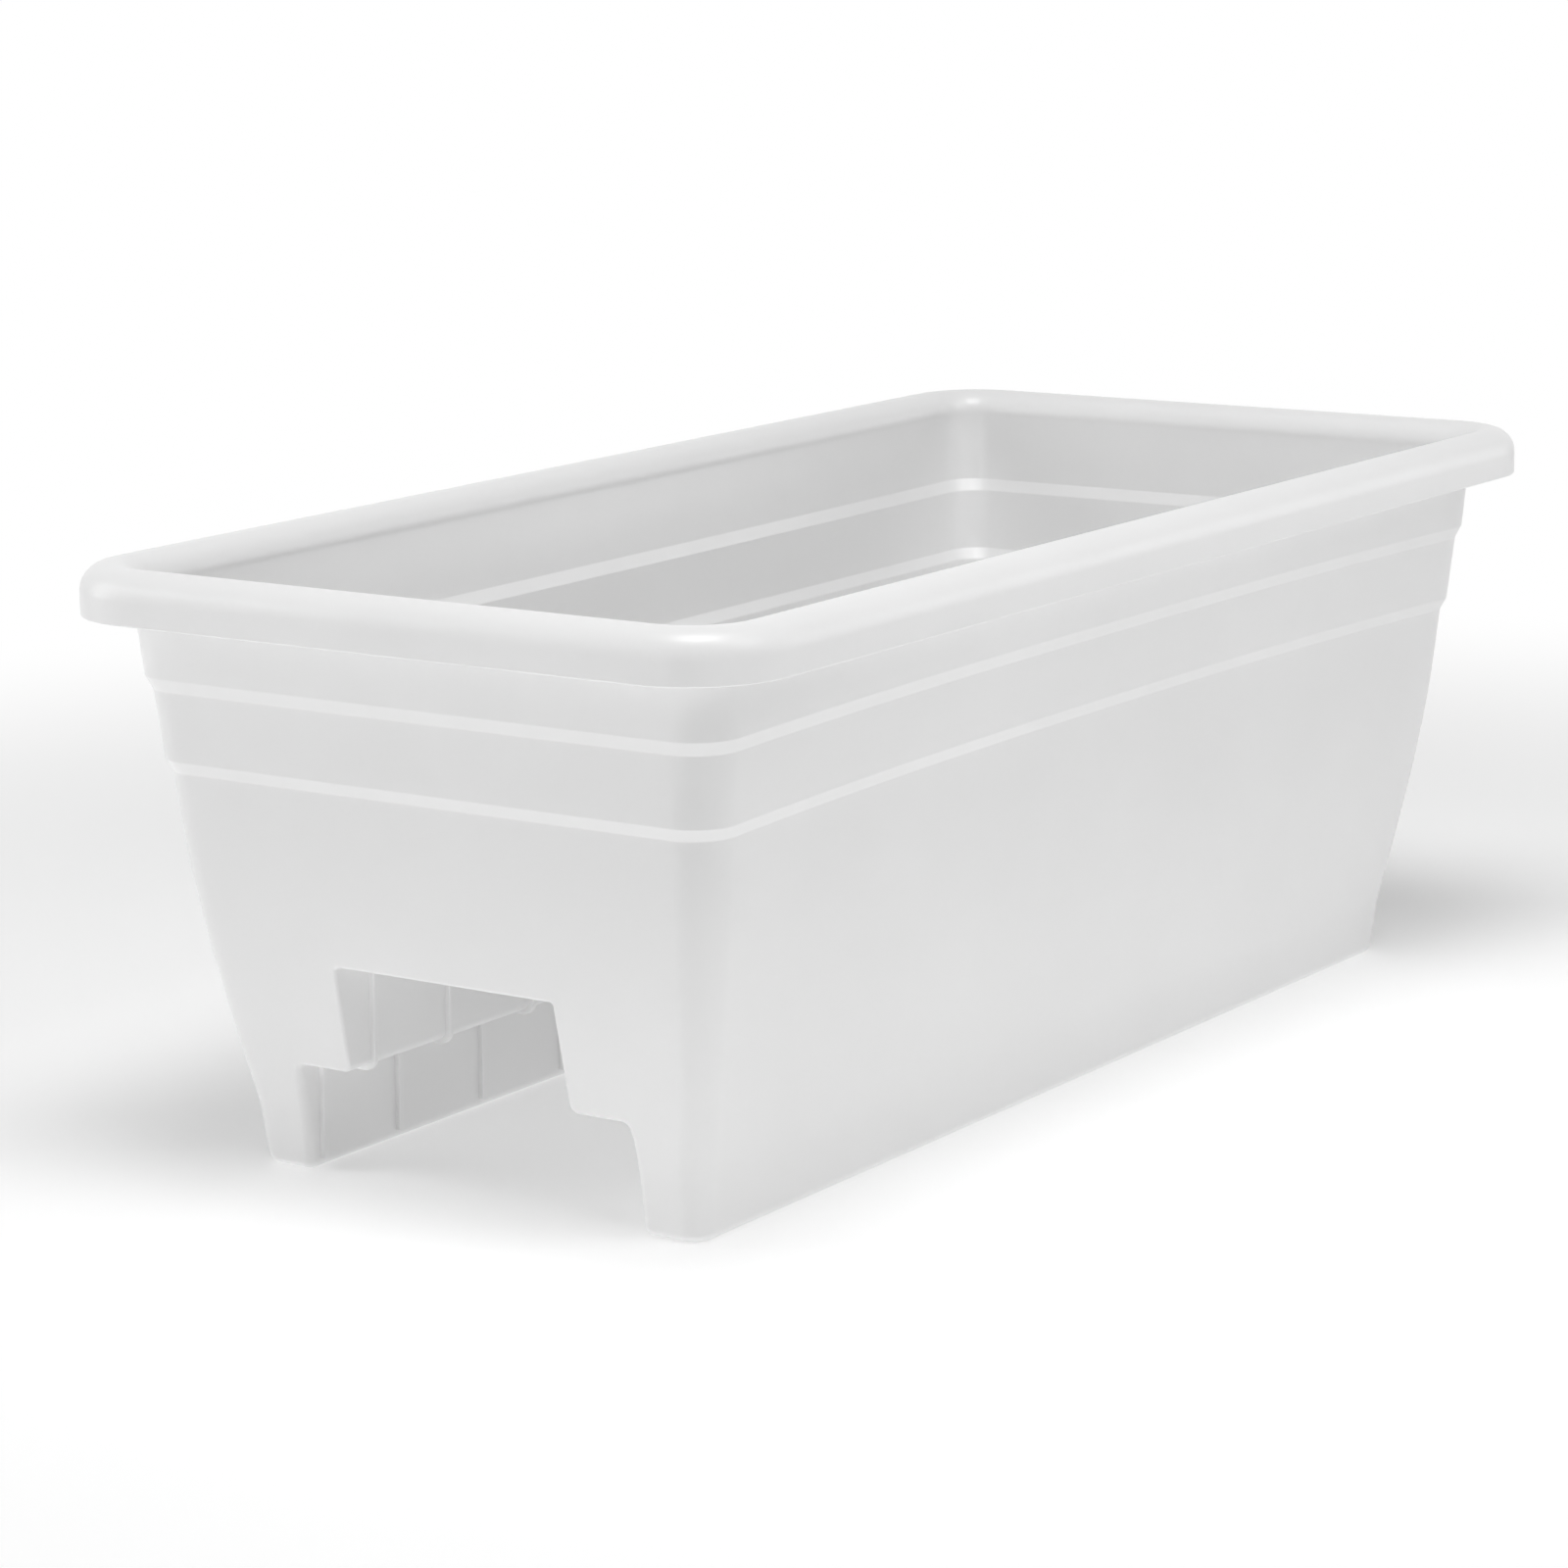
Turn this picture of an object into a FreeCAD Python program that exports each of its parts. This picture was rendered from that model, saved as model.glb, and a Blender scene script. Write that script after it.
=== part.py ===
"""Railing planter box: one moulded shell that straddles a deck rail, and its four drain plugs.

Millimetres, +Z up. X runs along the box and Y across it. The origin is on the ground under the
middle of the box, so the two feet stand on z = 0. The front is the side that faces -Y.
"""
import FreeCAD, Part
import math
import os
import Sketcher

SIZES = [
    ("overall_length", 609.6, "rim, end to end"),
    ("overall_width", 304.8, "rim, side to side"),
    ("overall_height", 228.6, "ground to the crest of the rim"),
    ("wall", 2.5, "moulded wall"),
    ("floor_wall", 2.5, "moulded floor of the feet"),
    ("rim_overhang", 18.8, "from the wall out to the lip"),
    ("rim_drop", 19.0, "crest down to the lip's lower edge"),
    ("rim_outer_radius", 10.0, "outer shoulder of the rim"),
    ("rim_flat", 1.5, "flat along the crest"),
    ("rim_neck", 1.6, "upright stretch under the inner shoulder"),
    ("lip_edge_radius", 0.6, "eased lower edge of the lip"),
    ("corner_radius", 18.0, "upright corners, under the rim"),
    ("foot_corner_radius", 9.0, "upright corners, at the ground"),
    ("upper_step_drop", 41.8, "crest down to the upper step"),
    ("upper_step_height", 5.1, "height of the upper step"),
    ("lower_step_drop", 73.0, "crest down to the lower step"),
    ("lower_step_height", 4.7, "height of the lower step"),
    ("upper_band_inset", 2.75, "wall set in by here, at the upper step"),
    ("step_ledge", 2.05, "how far each step goes in"),
    ("middle_band_inset", 7.5, "wall set in by here, at the lower step"),
    ("foot_top", 22.75, "height where the foot turns upright"),
    ("foot_taper", 2.5, "how far the foot goes in from its top to the ground"),
    ("front_bow_upper", 7.0, "front wall drawn in at mid length, upper step"),
    ("front_bow_lower", 9.0, "front wall drawn in at mid length, lower step"),
    ("back_bow_upper", 2.2, "back wall drawn in at mid length, upper step"),
    ("back_bow_lower", 1.2, "back wall drawn in at mid length, lower step"),
    ("foot_edge_radius", 3.6, "rounded edges under the feet"),
    ("step_edge_radius", 1.2, "eased edges of the steps"),
    ("slot_height", 84.4, "ground to the top of the rail slot"),
    ("ledge_height", 42.8, "ground to the ledge in the slot"),
    ("foot_width", 24.9, "foot, outer face to slot, at the ground"),
    ("ledge_depth", 25.9, "ledge, from the lower slot wall to the upper one"),
    ("slot_wall_lean", 0.8, "each slot wall leans out by this to its foot"),
    ("slot_top_radius", 1.6, "upper corners of the slot"),
    ("ledge_nose_radius", 3.5, "rounded nose of the ledge"),
    ("ledge_root_radius", 2.5, "inner corner under the ledge"),
    ("leg_edge_radius", 3.6, "upright edges of the feet at the slot's mouths"),
    ("hoop_height", 2.0, "stiffening hoops stand out this far in the slot"),
    ("hoop_width", 2.6, "width of a hoop"),
    ("end_hoop_setback", 5.0, "last hoop, in from the foot's end"),
    ("hoop_base", 4.0, "ground to the hoops' lower ends"),
    ("drain_bore", 8.6, "drain hole"),
    ("drain_well_depth", 3.0, "drain raised above the ground by this"),
    ("drain_well_width", 12.5, "recess under a drain"),
    ("plug_clearance", 0.3, "running gap round a plug"),
    ("plug_head_width", 12.4, "head of a plug"),
    ("plug_head_height", 1.8, "thickness of a plug's head"),
    ("plug_reach", 4.6, "length of a plug's stem"),
    ("plug_tip_narrowing", 0.5, "a plug's stem narrows by this to its tip"),
    ("plug_edge_radius", 0.5, "eased edge of a plug's head"),
    ("plug_tab_width", 7.6, "pull tab of a plug"),
    ("plug_tab_height", 7.5, "height of the pull tab"),
    ("plug_tab_thickness", 2.2, "thickness of the pull tab"),
    ("cut_overrun", 5.0, "how far a cutting form runs past what it cuts"),
]

# The curved lower wall: shares of the way down from the lower step to the top of the foot,
# of the way in between them, and of the lower step's bow.
LOWER_WALL_SHARES = [
    (0.25, 0.165, 0.95),
    (0.50, 0.395, 0.75),
    (0.75, 0.685, 0.45),
]
FOOT_TOP_BOW_SHARE = 0.15
# The lower wall goes in by this share of its height, from the lower step to the top of the foot.
LOWER_WALL_TAPER_SHARE = 0.1595786
# The middle hoops and the drains take these shares of the slot's length.
HOOP_ROW_SHARE = 0.8016
DRAIN_SPACING_SHARE = 0.6706
HOOP_COUNT = 9


class Term:
    """A length that carries both its number and the sheet formula behind it."""

    def __init__(self, value, text):
        self.value = float(value)
        self.text = text

    def mix(self, other, sign, value):
        text = other.text if isinstance(other, Term) else repr(other)
        return Term(value, "({} {} {})".format(self.text, sign, text))

    def __add__(self, other):
        return self.mix(other, "+", self.value + number(other))

    def __sub__(self, other):
        return self.mix(other, "-", self.value - number(other))

    def __mul__(self, other):
        return self.mix(other, "*", self.value * number(other))

    def __truediv__(self, other):
        return self.mix(other, "/", self.value / number(other))

    def __neg__(self):
        return Term(-self.value, "(0 - {})".format(self.text))


def number(thing):
    return thing.value if isinstance(thing, Term) else thing


ZERO = Term(0, "0")

doc = FreeCAD.newDocument("railing_planter_box")
sheet = doc.addObject("Spreadsheet::Sheet", "sizes")


class Sizes:
    """The driving dimensions, one attribute for each row of the sheet."""


size = Sizes()
for row, (alias, amount, note) in enumerate(SIZES, start=1):
    cell = "A{}".format(row)
    sheet.set(cell, str(amount))
    sheet.setAlias(cell, alias)
    sheet.set("B{}".format(row), note)
    setattr(size, alias, Term(amount, "sizes." + alias))
doc.recompute()


def bind(thing, prop, term):
    thing.setExpression(prop, term.text)


def plane(body, role):
    return next(part for part in body.Origin.OriginFeatures if part.Role == role)


def new_body(name):
    return doc.addObject("PartDesign::Body", name)


def new_sketch(body, name, role, offset=None):
    sketch = body.newObject("Sketcher::SketchObject", name)
    sketch.AttachmentSupport = [(plane(body, role), "")]
    sketch.MapMode = "FlatFace"
    if offset is not None:
        bind(sketch, "AttachmentOffset.Base.z", offset)
    return sketch


def rule(sketch, name, term, *fields):
    """Add a named size to a sketch and tie it to the sheet."""
    index = sketch.addConstraint(Sketcher.Constraint(*fields, term.value))
    sketch.renameConstraint(index, name)
    bind(sketch, "Constraints." + name, term)


def vec(x, y, z=0.0):
    return FreeCAD.Vector(x, y, z)


def arc(x, y, radius, start, end):
    return Part.ArcOfCircle(Part.Circle(vec(x, y), vec(0, 0, 1), radius), start, end)


def line(x1, y1, x2, y2):
    return Part.LineSegment(vec(x1, y1), vec(x2, y2))


START, END, MIDDLE = range(1, 4)
ORIGIN, UP_AXIS = range(-1, -3, -1)
QUARTER = math.pi / 2


class Bow:
    """How far a long side is drawn in, and the arc that draws it."""

    def __init__(self, depth, half_width, corner, run):
        self.depth = depth
        if depth is None:
            self.rise = half_width.value - corner.value
            return
        self.radius = (run * run + depth * depth) / (depth * 2)
        self.stand_off = half_width - depth + self.radius
        reach = self.radius.value + corner.value
        self.lean = math.asin(run.value / reach)
        self.rise = self.stand_off.value - math.sqrt(reach ** 2 - run.value ** 2)


def ring(sketch, half_length, half_width, corner, front_depth, back_depth):
    """A rounded rectangle whose long sides are drawn in, or straight where a depth is None."""
    run = half_length - corner
    front = Bow(front_depth, half_width, corner, run)
    back = Bow(back_depth, half_width, corner, run)
    a, r, reach = half_length.value, corner.value, run.value
    lean_f = front.lean if front_depth else 0.0
    lean_b = back.lean if back_depth else 0.0
    if front_depth:
        front_side = arc(0, -front.stand_off.value, front.radius.value, QUARTER - lean_f, QUARTER + lean_f)
    else:
        front_side = line(reach, -front.rise - r, -reach, -front.rise - r)
    if back_depth:
        back_side = arc(0, back.stand_off.value, back.radius.value, 3 * QUARTER - lean_b,
                        3 * QUARTER + lean_b)
    else:
        back_side = line(reach, back.rise + r, -reach, back.rise + r)
    sketch.addGeometry([
        front_side,
        arc(reach, -front.rise, r, -QUARTER - lean_f, 0),
        line(a, -front.rise, a, back.rise),
        arc(reach, back.rise, r, 0, QUARTER + lean_b),
        back_side,
        arc(-reach, back.rise, r, QUARTER - lean_b, 2 * QUARTER),
        line(-a, back.rise, -a, -front.rise),
        arc(-reach, -front.rise, r, 2 * QUARTER, 3 * QUARTER + lean_f),
    ], False)
    back_right, back_left = (END, START) if back_depth else (START, END)
    joins = [(0, START, 1, START), (1, END, 2, START), (2, END, 3, START), (3, END, 4, back_right),
             (4, back_left, 5, START), (5, END, 6, START), (6, END, 7, START), (7, END, 0, END)]
    for join in joins:
        sketch.addConstraint(Sketcher.Constraint("Tangent", *join))
    for k in (2, 6):
        sketch.addConstraint(Sketcher.Constraint("Vertical", k))
    for k in (3, 5, 7):
        sketch.addConstraint(Sketcher.Constraint("Equal", 1, k))
    rule(sketch, "corner", corner, "Radius", 1)
    rule(sketch, "right", half_length, "DistanceX", ORIGIN, 1, 2, START)
    rule(sketch, "left", half_length, "DistanceX", 6, START, ORIGIN, 1)
    if front_depth:
        sketch.addConstraint(Sketcher.Constraint("PointOnObject", 0, MIDDLE, UP_AXIS))
        rule(sketch, "front_sweep", front.radius, "Radius", 0)
        rule(sketch, "front", front.stand_off, "DistanceY", 0, MIDDLE, ORIGIN, 1)
    else:
        sketch.addConstraint(Sketcher.Constraint("Horizontal", 0))
        rule(sketch, "front", half_width, "DistanceY", 0, START, ORIGIN, 1)
    if back_depth:
        sketch.addConstraint(Sketcher.Constraint("PointOnObject", 4, MIDDLE, UP_AXIS))
        rule(sketch, "back_sweep", back.radius, "Radius", 4)
        rule(sketch, "back", back.stand_off, "DistanceY", ORIGIN, 1, 4, MIDDLE)
    else:
        sketch.addConstraint(Sketcher.Constraint("Horizontal", 4))
        rule(sketch, "back", half_width, "DistanceY", ORIGIN, 1, 4, START)


def outline(sketch, corners):
    """A closed outline through the corners, each (across, up, radius) with None for a sharp one."""
    count = len(corners)
    points = [vec(across.value, up.value) for across, up, _ in corners]
    starts, ends, arcs = [], [], []
    for k, (_, _, radius) in enumerate(corners):
        here, before, after = points[k], points[k - 1], points[(k + 1) % count]
        if radius is None:
            starts.append(here)
            ends.append(here)
            arcs.append(None)
            continue
        to_before = (before - here).normalize()
        to_after = (after - here).normalize()
        half = to_before.getAngle(to_after) / 2
        trim = radius.value / math.tan(half)
        centre = here + (to_before + to_after).normalize() * (radius.value / math.sin(half))
        enter, leave = here + to_before * trim, here + to_after * trim
        ends.append(enter)
        starts.append(leave)
        arcs.append((centre, enter, leave))
    for k in range(count):
        sketch.addGeometry(Part.LineSegment(starts[k], ends[(k + 1) % count]), False)
    for k, (across, up, radius) in enumerate(corners):
        before, after = (k - 1) % count, k
        name = "corner_{}".format(k)
        if radius is None:
            sketch.addConstraint(Sketcher.Constraint("Coincident", before, END, after, START))
            pin = (after, START)
        else:
            centre, enter, leave = arcs[k]
            angle_in = math.atan2(enter.y - centre.y, enter.x - centre.x)
            angle_out = math.atan2(leave.y - centre.y, leave.x - centre.x)
            turn = (angle_out - angle_in) % (2 * math.pi)
            forward = turn < math.pi
            first, last = (angle_in, angle_out) if forward else (angle_out, angle_in)
            bend = sketch.addGeometry(arc(centre.x, centre.y, radius.value, first, last), False)
            head, tail = (START, END) if forward else (END, START)
            sketch.addConstraint(Sketcher.Constraint("Tangent", before, END, bend, head))
            sketch.addConstraint(Sketcher.Constraint("Tangent", bend, tail, after, START))
            rule(sketch, name + "_radius", radius, "Radius", bend)
            mark = sketch.addGeometry(Part.Point(points[k]), True)
            for side in (before, after):
                sketch.addConstraint(Sketcher.Constraint("PointOnObject", mark, START, side))
            pin = (mark, START)
        place(sketch, name, pin, across, up)


def place(sketch, name, pin, across, up):
    """Set a point's distances from the sketch's origin."""
    for suffix, kind, term in (("_across", "DistanceX", across), ("_up", "DistanceY", up)):
        if term is ZERO:
            axis = UP_AXIS if kind == "DistanceX" else ORIGIN
            sketch.addConstraint(Sketcher.Constraint("PointOnObject", *pin, axis))
        elif term.value < 0:
            rule(sketch, name + suffix, -term, kind, *pin, ORIGIN, 1)
        else:
            rule(sketch, name + suffix, term, kind, ORIGIN, 1, *pin)


def loft(body, name, sections, ruled):
    feature = body.newObject("PartDesign::AdditiveLoft", name)
    feature.Profile = (sections[0], [""])
    feature.Sections = [(section, [""]) for section in sections[1:]]
    feature.Ruled = ruled
    return feature


def sketch_feature(body, kind, name, sketch, length=None, both_ways=False, reverse=False):
    """A pad or pocket of a sketch: through everything where no length is given."""
    feature = body.newObject("PartDesign::" + kind, name)
    feature.Profile = (sketch, [""])
    if length is None:
        feature.Type = "ThroughAll"
    else:
        feature.Type = "Length"
        bind(feature, "Length", length)
    feature.SideType = "Symmetric" if both_ways else "One side"
    feature.Reversed = reverse
    return feature


def fillet(body, name, radius, wanted):
    """Round the edges of the body so far that the test picks."""
    doc.recompute()
    tip = body.Tip
    names = ["Edge{}".format(k) for k, edge in enumerate(tip.Shape.Edges, start=1) if wanted(edge)]
    feature = body.newObject("PartDesign::Fillet", name)
    feature.Base = (tip, names)
    bind(feature, "Radius", radius)
    return feature


def pattern(body, name, original, length, occurrences):
    """Repeat a feature along X."""
    feature = body.newObject("PartDesign::LinearPattern", name)
    feature.Originals = [original]
    feature.Direction = (axis_line(body, "X_Axis"), [""])
    bind(feature, "Length", length)
    feature.Occurrences = occurrences
    body.Tip = feature
    return feature


def axis_line(body, role):
    return next(part for part in body.Origin.OriginFeatures if part.Role == role)


CLOSE = 0.05


def at_level(height):
    """Test for edges that lie wholly at one height."""
    def test(edge):
        box = edge.BoundBox
        return abs(box.ZMin - height.value) < CLOSE and abs(box.ZMax - height.value) < CLOSE
    return test


def along(corners):
    """Test for edges along X that pass through one of the (y, z) places."""
    def test(edge):
        box = edge.BoundBox
        if box.YLength > CLOSE or box.ZLength > CLOSE:
            return False
        return any(abs(abs(box.YMin) - y.value) < CLOSE and abs(box.ZMin - z.value) < CLOSE
                   for y, z in corners)
    return test


# The rim's inner shoulder takes what its outer one and the flat leave of the width.
rim_inner_radius = size.rim_overhang + size.wall - size.rim_outer_radius - size.rim_flat
root_height = size.overall_height - rim_inner_radius - size.rim_neck
half_length = size.overall_length / 2 - size.rim_overhang
half_width = size.overall_width / 2 - size.rim_overhang
upper_step_top = size.overall_height - size.upper_step_drop
lower_step_top = size.overall_height - size.lower_step_drop
lower_foot = lower_step_top - size.lower_step_height
lower_inset = size.middle_band_inset + size.step_ledge
lower_wall_taper = (lower_foot - size.foot_top) * LOWER_WALL_TAPER_SHARE
foot_top_inset = lower_inset + lower_wall_taper
foot_inset = foot_top_inset + size.foot_taper
foot_outer_face = half_width - foot_inset
foot_inner_face = foot_outer_face - size.foot_width
slot_length = (half_length - foot_inset) * 2


def corner_at(height):
    """Upright corner radius, tapering from under the rim to the ground."""
    return size.foot_corner_radius + (size.corner_radius - size.foot_corner_radius) * (height / root_height)


def tub(body, shift, lift, top_overrun=None):
    """The tapering box form, set in by the shift and raised by the lift."""
    upper_foot = upper_step_top - size.upper_step_height
    fall = lower_foot - size.foot_top

    def level(name, height, inset, bows=(None, None), rise=lift):
        sketch = new_sketch(body, name, "XY_Plane", height + rise)
        ring(sketch, half_length - inset - shift, half_width - inset - shift,
             corner_at(height) - shift, *bows)
        return sketch

    upper_bows = (size.front_bow_upper, size.back_bow_upper)
    lower_bows = (size.front_bow_lower, size.back_bow_lower)

    def part_of_bow(share):
        return (size.front_bow_lower * share, size.back_bow_lower * share)

    ground = level("ground", ZERO, foot_inset)
    foot = level("foot", size.foot_top, foot_top_inset, part_of_bow(FOOT_TOP_BOW_SHARE))
    curve = [
        level("lower_wall_{}".format(k), lower_foot - fall * down, lower_inset + lower_wall_taper * inward,
              part_of_bow(bow))
        for k, (down, inward, bow) in enumerate(LOWER_WALL_SHARES, start=1)
    ]
    lower_low = level("lower_step_foot", lower_foot, lower_inset, lower_bows)
    lower_high = level("lower_step_head", lower_step_top, size.middle_band_inset, lower_bows)
    upper_low = level("upper_step_foot", upper_foot, size.upper_band_inset + size.step_ledge, upper_bows)
    upper_high = level("upper_step_head", upper_step_top, size.upper_band_inset, upper_bows)
    root = level("root", root_height, ZERO, rise=ZERO)
    loft(body, "foot_loft", [ground, foot], True)
    loft(body, "lower_wall_loft", [foot] + curve[::-1] + [lower_low], False)
    loft(body, "lower_step_loft", [lower_low, lower_high], True)
    loft(body, "middle_band_loft", [lower_high, upper_low], True)
    loft(body, "upper_step_loft", [upper_low, upper_high], True)
    loft(body, "upper_band_loft", [upper_high, root], True)
    if top_overrun is not None:
        above = level("above", root_height, ZERO, rise=top_overrun)
        loft(body, "opening_loft", [root, above], True)


def arch(grow, base):
    """Half outlines of the stepped rail slot, grown outwards: the (y, z) corners on the +Y side."""
    upper_face = foot_inner_face - size.ledge_depth
    return [
        (foot_inner_face + grow, base),
        (foot_inner_face - size.slot_wall_lean + grow, size.ledge_height + grow),
        (upper_face + grow, size.ledge_height + grow),
        (upper_face - size.slot_wall_lean + grow, size.slot_height + grow),
    ]


def whole_arch(grow, base):
    """The slot's outline round both sides, with sharp corners."""
    right = arch(grow, base)
    left = [(-across, up) for across, up in reversed(right)]
    return [(across, up, None) for across, up in right + left]


def cut_arch(body, name, grow, root_radius, nose_radius, top_radius):
    """Cut the stepped slot right through a body along X and round its corners."""
    sketch = new_sketch(body, name + "_outline", "YZ_Plane")
    outline(sketch, whole_arch(grow, -size.cut_overrun))
    sketch_feature(body, "Pocket", name, sketch, both_ways=True)
    _, root, nose, top = arch(grow, ZERO)
    fillet(body, name + "_top_fillet", top_radius, along([top]))
    fillet(body, name + "_nose_fillet", nose_radius, along([nose]))
    fillet(body, name + "_root_fillet", root_radius, along([root]))


cavity = new_body("cavity_form")
tub(cavity, size.wall, size.floor_wall, size.cut_overrun)
cut_arch(cavity, "saddle", size.wall, size.ledge_root_radius + size.wall,
         size.ledge_nose_radius - size.wall, size.slot_top_radius + size.wall)

box = new_body("planter_box")
tub(box, ZERO, ZERO)
for label, height in (("upper_step_head", upper_step_top),
                      ("upper_step_foot", upper_step_top - size.upper_step_height),
                      ("lower_step_head", lower_step_top),
                      ("lower_step_foot", lower_step_top - size.lower_step_height)):
    fillet(box, label + "_fillet", size.step_edge_radius, at_level(height))
cut_arch(box, "rail_slot", ZERO, size.ledge_root_radius, size.ledge_nose_radius, size.slot_top_radius)


def leg_edge(edge):
    """Test for the upright edges of the feet at the slot's mouths."""
    box = edge.BoundBox
    slot_side = max(abs(box.YMin), abs(box.YMax)) < foot_inner_face.value + CLOSE
    upright = box.ZLength > 2 * box.YLength and box.ZLength > 2 * size.hoop_height.value
    return slot_side and upright and box.ZMax < size.ledge_height.value


fillet(box, "leg_edge_fillet", size.leg_edge_radius, leg_edge)
fillet(box, "foot_edge_fillet", size.foot_edge_radius, at_level(ZERO))

hollow = doc.addObject("PartDesign::Boolean", "hollow")
box.addObject(hollow)
hollow.setObjects([cavity])
hollow.Type = "Cut"

# The rim: a thin rolled section carried round the top along the lip's outer face.
rim_path = new_sketch(box, "rim_path", "XY_Plane", size.overall_height)
ring(rim_path, size.overall_length / 2, size.overall_width / 2, size.corner_radius + size.rim_overhang,
     None, None)
lip = size.overall_length / 2
crest = size.overall_height
lip_end = crest - size.rim_drop
rim_section = new_sketch(box, "rim_section", "XZ_Plane")
inner_face = half_length - size.wall
outline(rim_section, [
    (lip, lip_end, size.lip_edge_radius),
    (lip, crest, size.rim_outer_radius),
    (inner_face, crest, rim_inner_radius),
    (inner_face, root_height, None),
    (half_length, root_height, None),
    (half_length, crest - size.wall, rim_inner_radius - size.wall),
    (lip - size.wall, crest - size.wall, size.rim_outer_radius - size.wall),
    (lip - size.wall, lip_end, size.lip_edge_radius),
])
rim = box.newObject("PartDesign::AdditivePipe", "rim")
rim.Profile = (rim_section, [""])
rim.Spine = (rim_path, [""])

# Hoops: thin arches standing in from the slot's wall, rooted half way into it.
hoop_run = slot_length * HOOP_ROW_SHARE
end_hoop_run = slot_length - size.end_hoop_setback * 2 - size.hoop_width


def hoops(name, run, count):
    """A row of equal hoops, centred along the slot."""
    sketch = new_sketch(box, name + "_outline", "YZ_Plane", -run / 2)
    inside = whole_arch(-size.hoop_height, size.hoop_base)
    outside = whole_arch(size.wall / 2, size.hoop_base)
    outline(sketch, outside + inside[::-1])
    first = sketch_feature(box, "Pad", name, sketch, size.hoop_width, both_ways=True)
    pattern(box, name + "_row", first, run, count)


hoops("hoops", hoop_run, HOOP_COUNT)
hoops("end_hoops", end_hoop_run, 2)

# Drains: a raised seat in each foot's floor, a recess under it and a hole through.
drain_across = foot_outer_face - size.foot_width / 2
drain_along = slot_length * DRAIN_SPACING_SHARE / 2
seat_height = size.drain_well_depth + size.wall


def circles(sketch, width):
    """Four equal circles at the drains."""
    for k, (side, end) in enumerate(((1, 1), (1, -1), (-1, 1), (-1, -1))):
        centre = vec(end * drain_along.value, side * drain_across.value)
        sketch.addGeometry(Part.Circle(centre, vec(0, 0, 1), width.value / 2), False)
        if k:
            sketch.addConstraint(Sketcher.Constraint("Equal", 0, k))
        place(sketch, "drain_{}".format(k), (k, MIDDLE), drain_along * end, drain_across * side)
    rule(sketch, "width", width, "Diameter", 0)


seat_outline = new_sketch(box, "drain_seat_outline", "XY_Plane", size.floor_wall / 2)
circles(seat_outline, size.drain_well_width + size.wall * 2)
sketch_feature(box, "Pad", "drain_seats", seat_outline, seat_height - size.floor_wall / 2)
well_outline = new_sketch(box, "drain_well_outline", "XY_Plane")
circles(well_outline, size.drain_well_width)
sketch_feature(box, "Pocket", "drain_wells", well_outline, size.drain_well_depth, reverse=True)
bore_outline = new_sketch(box, "drain_bore_outline", "XY_Plane")
circles(bore_outline, size.drain_bore)
sketch_feature(box, "Pocket", "drain_bores", bore_outline, seat_height + size.cut_overrun, reverse=True)


def drain_plug(name, end, side):
    """A plug that stands on its seat: a tapered stem, a head and a pull tab."""
    body = new_body(name)
    turned = new_sketch(body, "turned_outline", "XZ_Plane")
    stem = size.drain_bore / 2 - size.plug_clearance
    head = size.plug_head_width / 2
    outline(turned, [
        (ZERO, -size.plug_reach, None),
        (stem - size.plug_tip_narrowing / 2, -size.plug_reach, None),
        (stem, ZERO, None),
        (head, ZERO, None),
        (head, size.plug_head_height, size.plug_edge_radius),
        (ZERO, size.plug_head_height, None),
    ])
    turn = body.newObject("PartDesign::Revolution", "turned")
    turn.Profile = (turned, [""])
    turn.ReferenceAxis = (turned, ["V_Axis"])
    turn.Angle = 360.0
    tab_outline = new_sketch(body, "tab_outline", "XZ_Plane")
    half_tab = size.plug_tab_width / 2
    top = size.plug_head_height + size.plug_tab_height
    outline(tab_outline, [
        (-half_tab, size.plug_head_height / 2, None),
        (half_tab, size.plug_head_height / 2, None),
        (half_tab, top, size.plug_tab_width / 3),
        (-half_tab, top, size.plug_tab_width / 3),
    ])
    sketch_feature(body, "Pad", "tab", tab_outline, size.plug_tab_thickness, both_ways=True)
    bind(body, "Placement.Base.x", drain_along * end)
    bind(body, "Placement.Base.y", drain_across * side)
    bind(body, "Placement.Base.z", seat_height)
    return body


LEFT, RIGHT, FRONT, BACK = -1, 1, -1, 1
pieces = [
    box,
    drain_plug("drain_plug_front_left", LEFT, FRONT),
    drain_plug("drain_plug_front_right", RIGHT, FRONT),
    drain_plug("drain_plug_back_left", LEFT, BACK),
    drain_plug("drain_plug_back_right", RIGHT, BACK),
]

doc.recompute()
for thing in doc.Objects:
    if "Invalid" in thing.State or "Error" in thing.State:
        raise RuntimeError("{} did not build: {}".format(thing.Name, thing.getStatusString()))
os.makedirs("parts", exist_ok=True)
for piece in pieces:
    shape = piece.Shape
    if not shape.isValid() or len(shape.Solids) != 1:
        raise RuntimeError("{} is not one valid solid".format(piece.Name))
    shape.exportStep("parts/{}.step".format(piece.Name))
    print(piece.Name, "volume", round(shape.Volume, 1), "faces", len(shape.Faces))
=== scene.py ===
"""Looks of a railing planter box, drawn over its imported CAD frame.

The box is one white moulded shell: a rolled rim over tapering walls with two small steps, two
hollow feet with a stepped rail slot between them, thin hoops round the slot and four drain plugs.
Lengths are in millimetres until a mesh is made, and then in metres. X runs along the box, Y
across it from front (-Y) to back, and Z up from the ground.
"""

import logging
import math
from dataclasses import dataclass, field
from enum import Enum

import bpy
import numpy as np
from mathutils import Matrix, Vector
from mathutils.geometry import delaunay_2d_cdt


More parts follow.
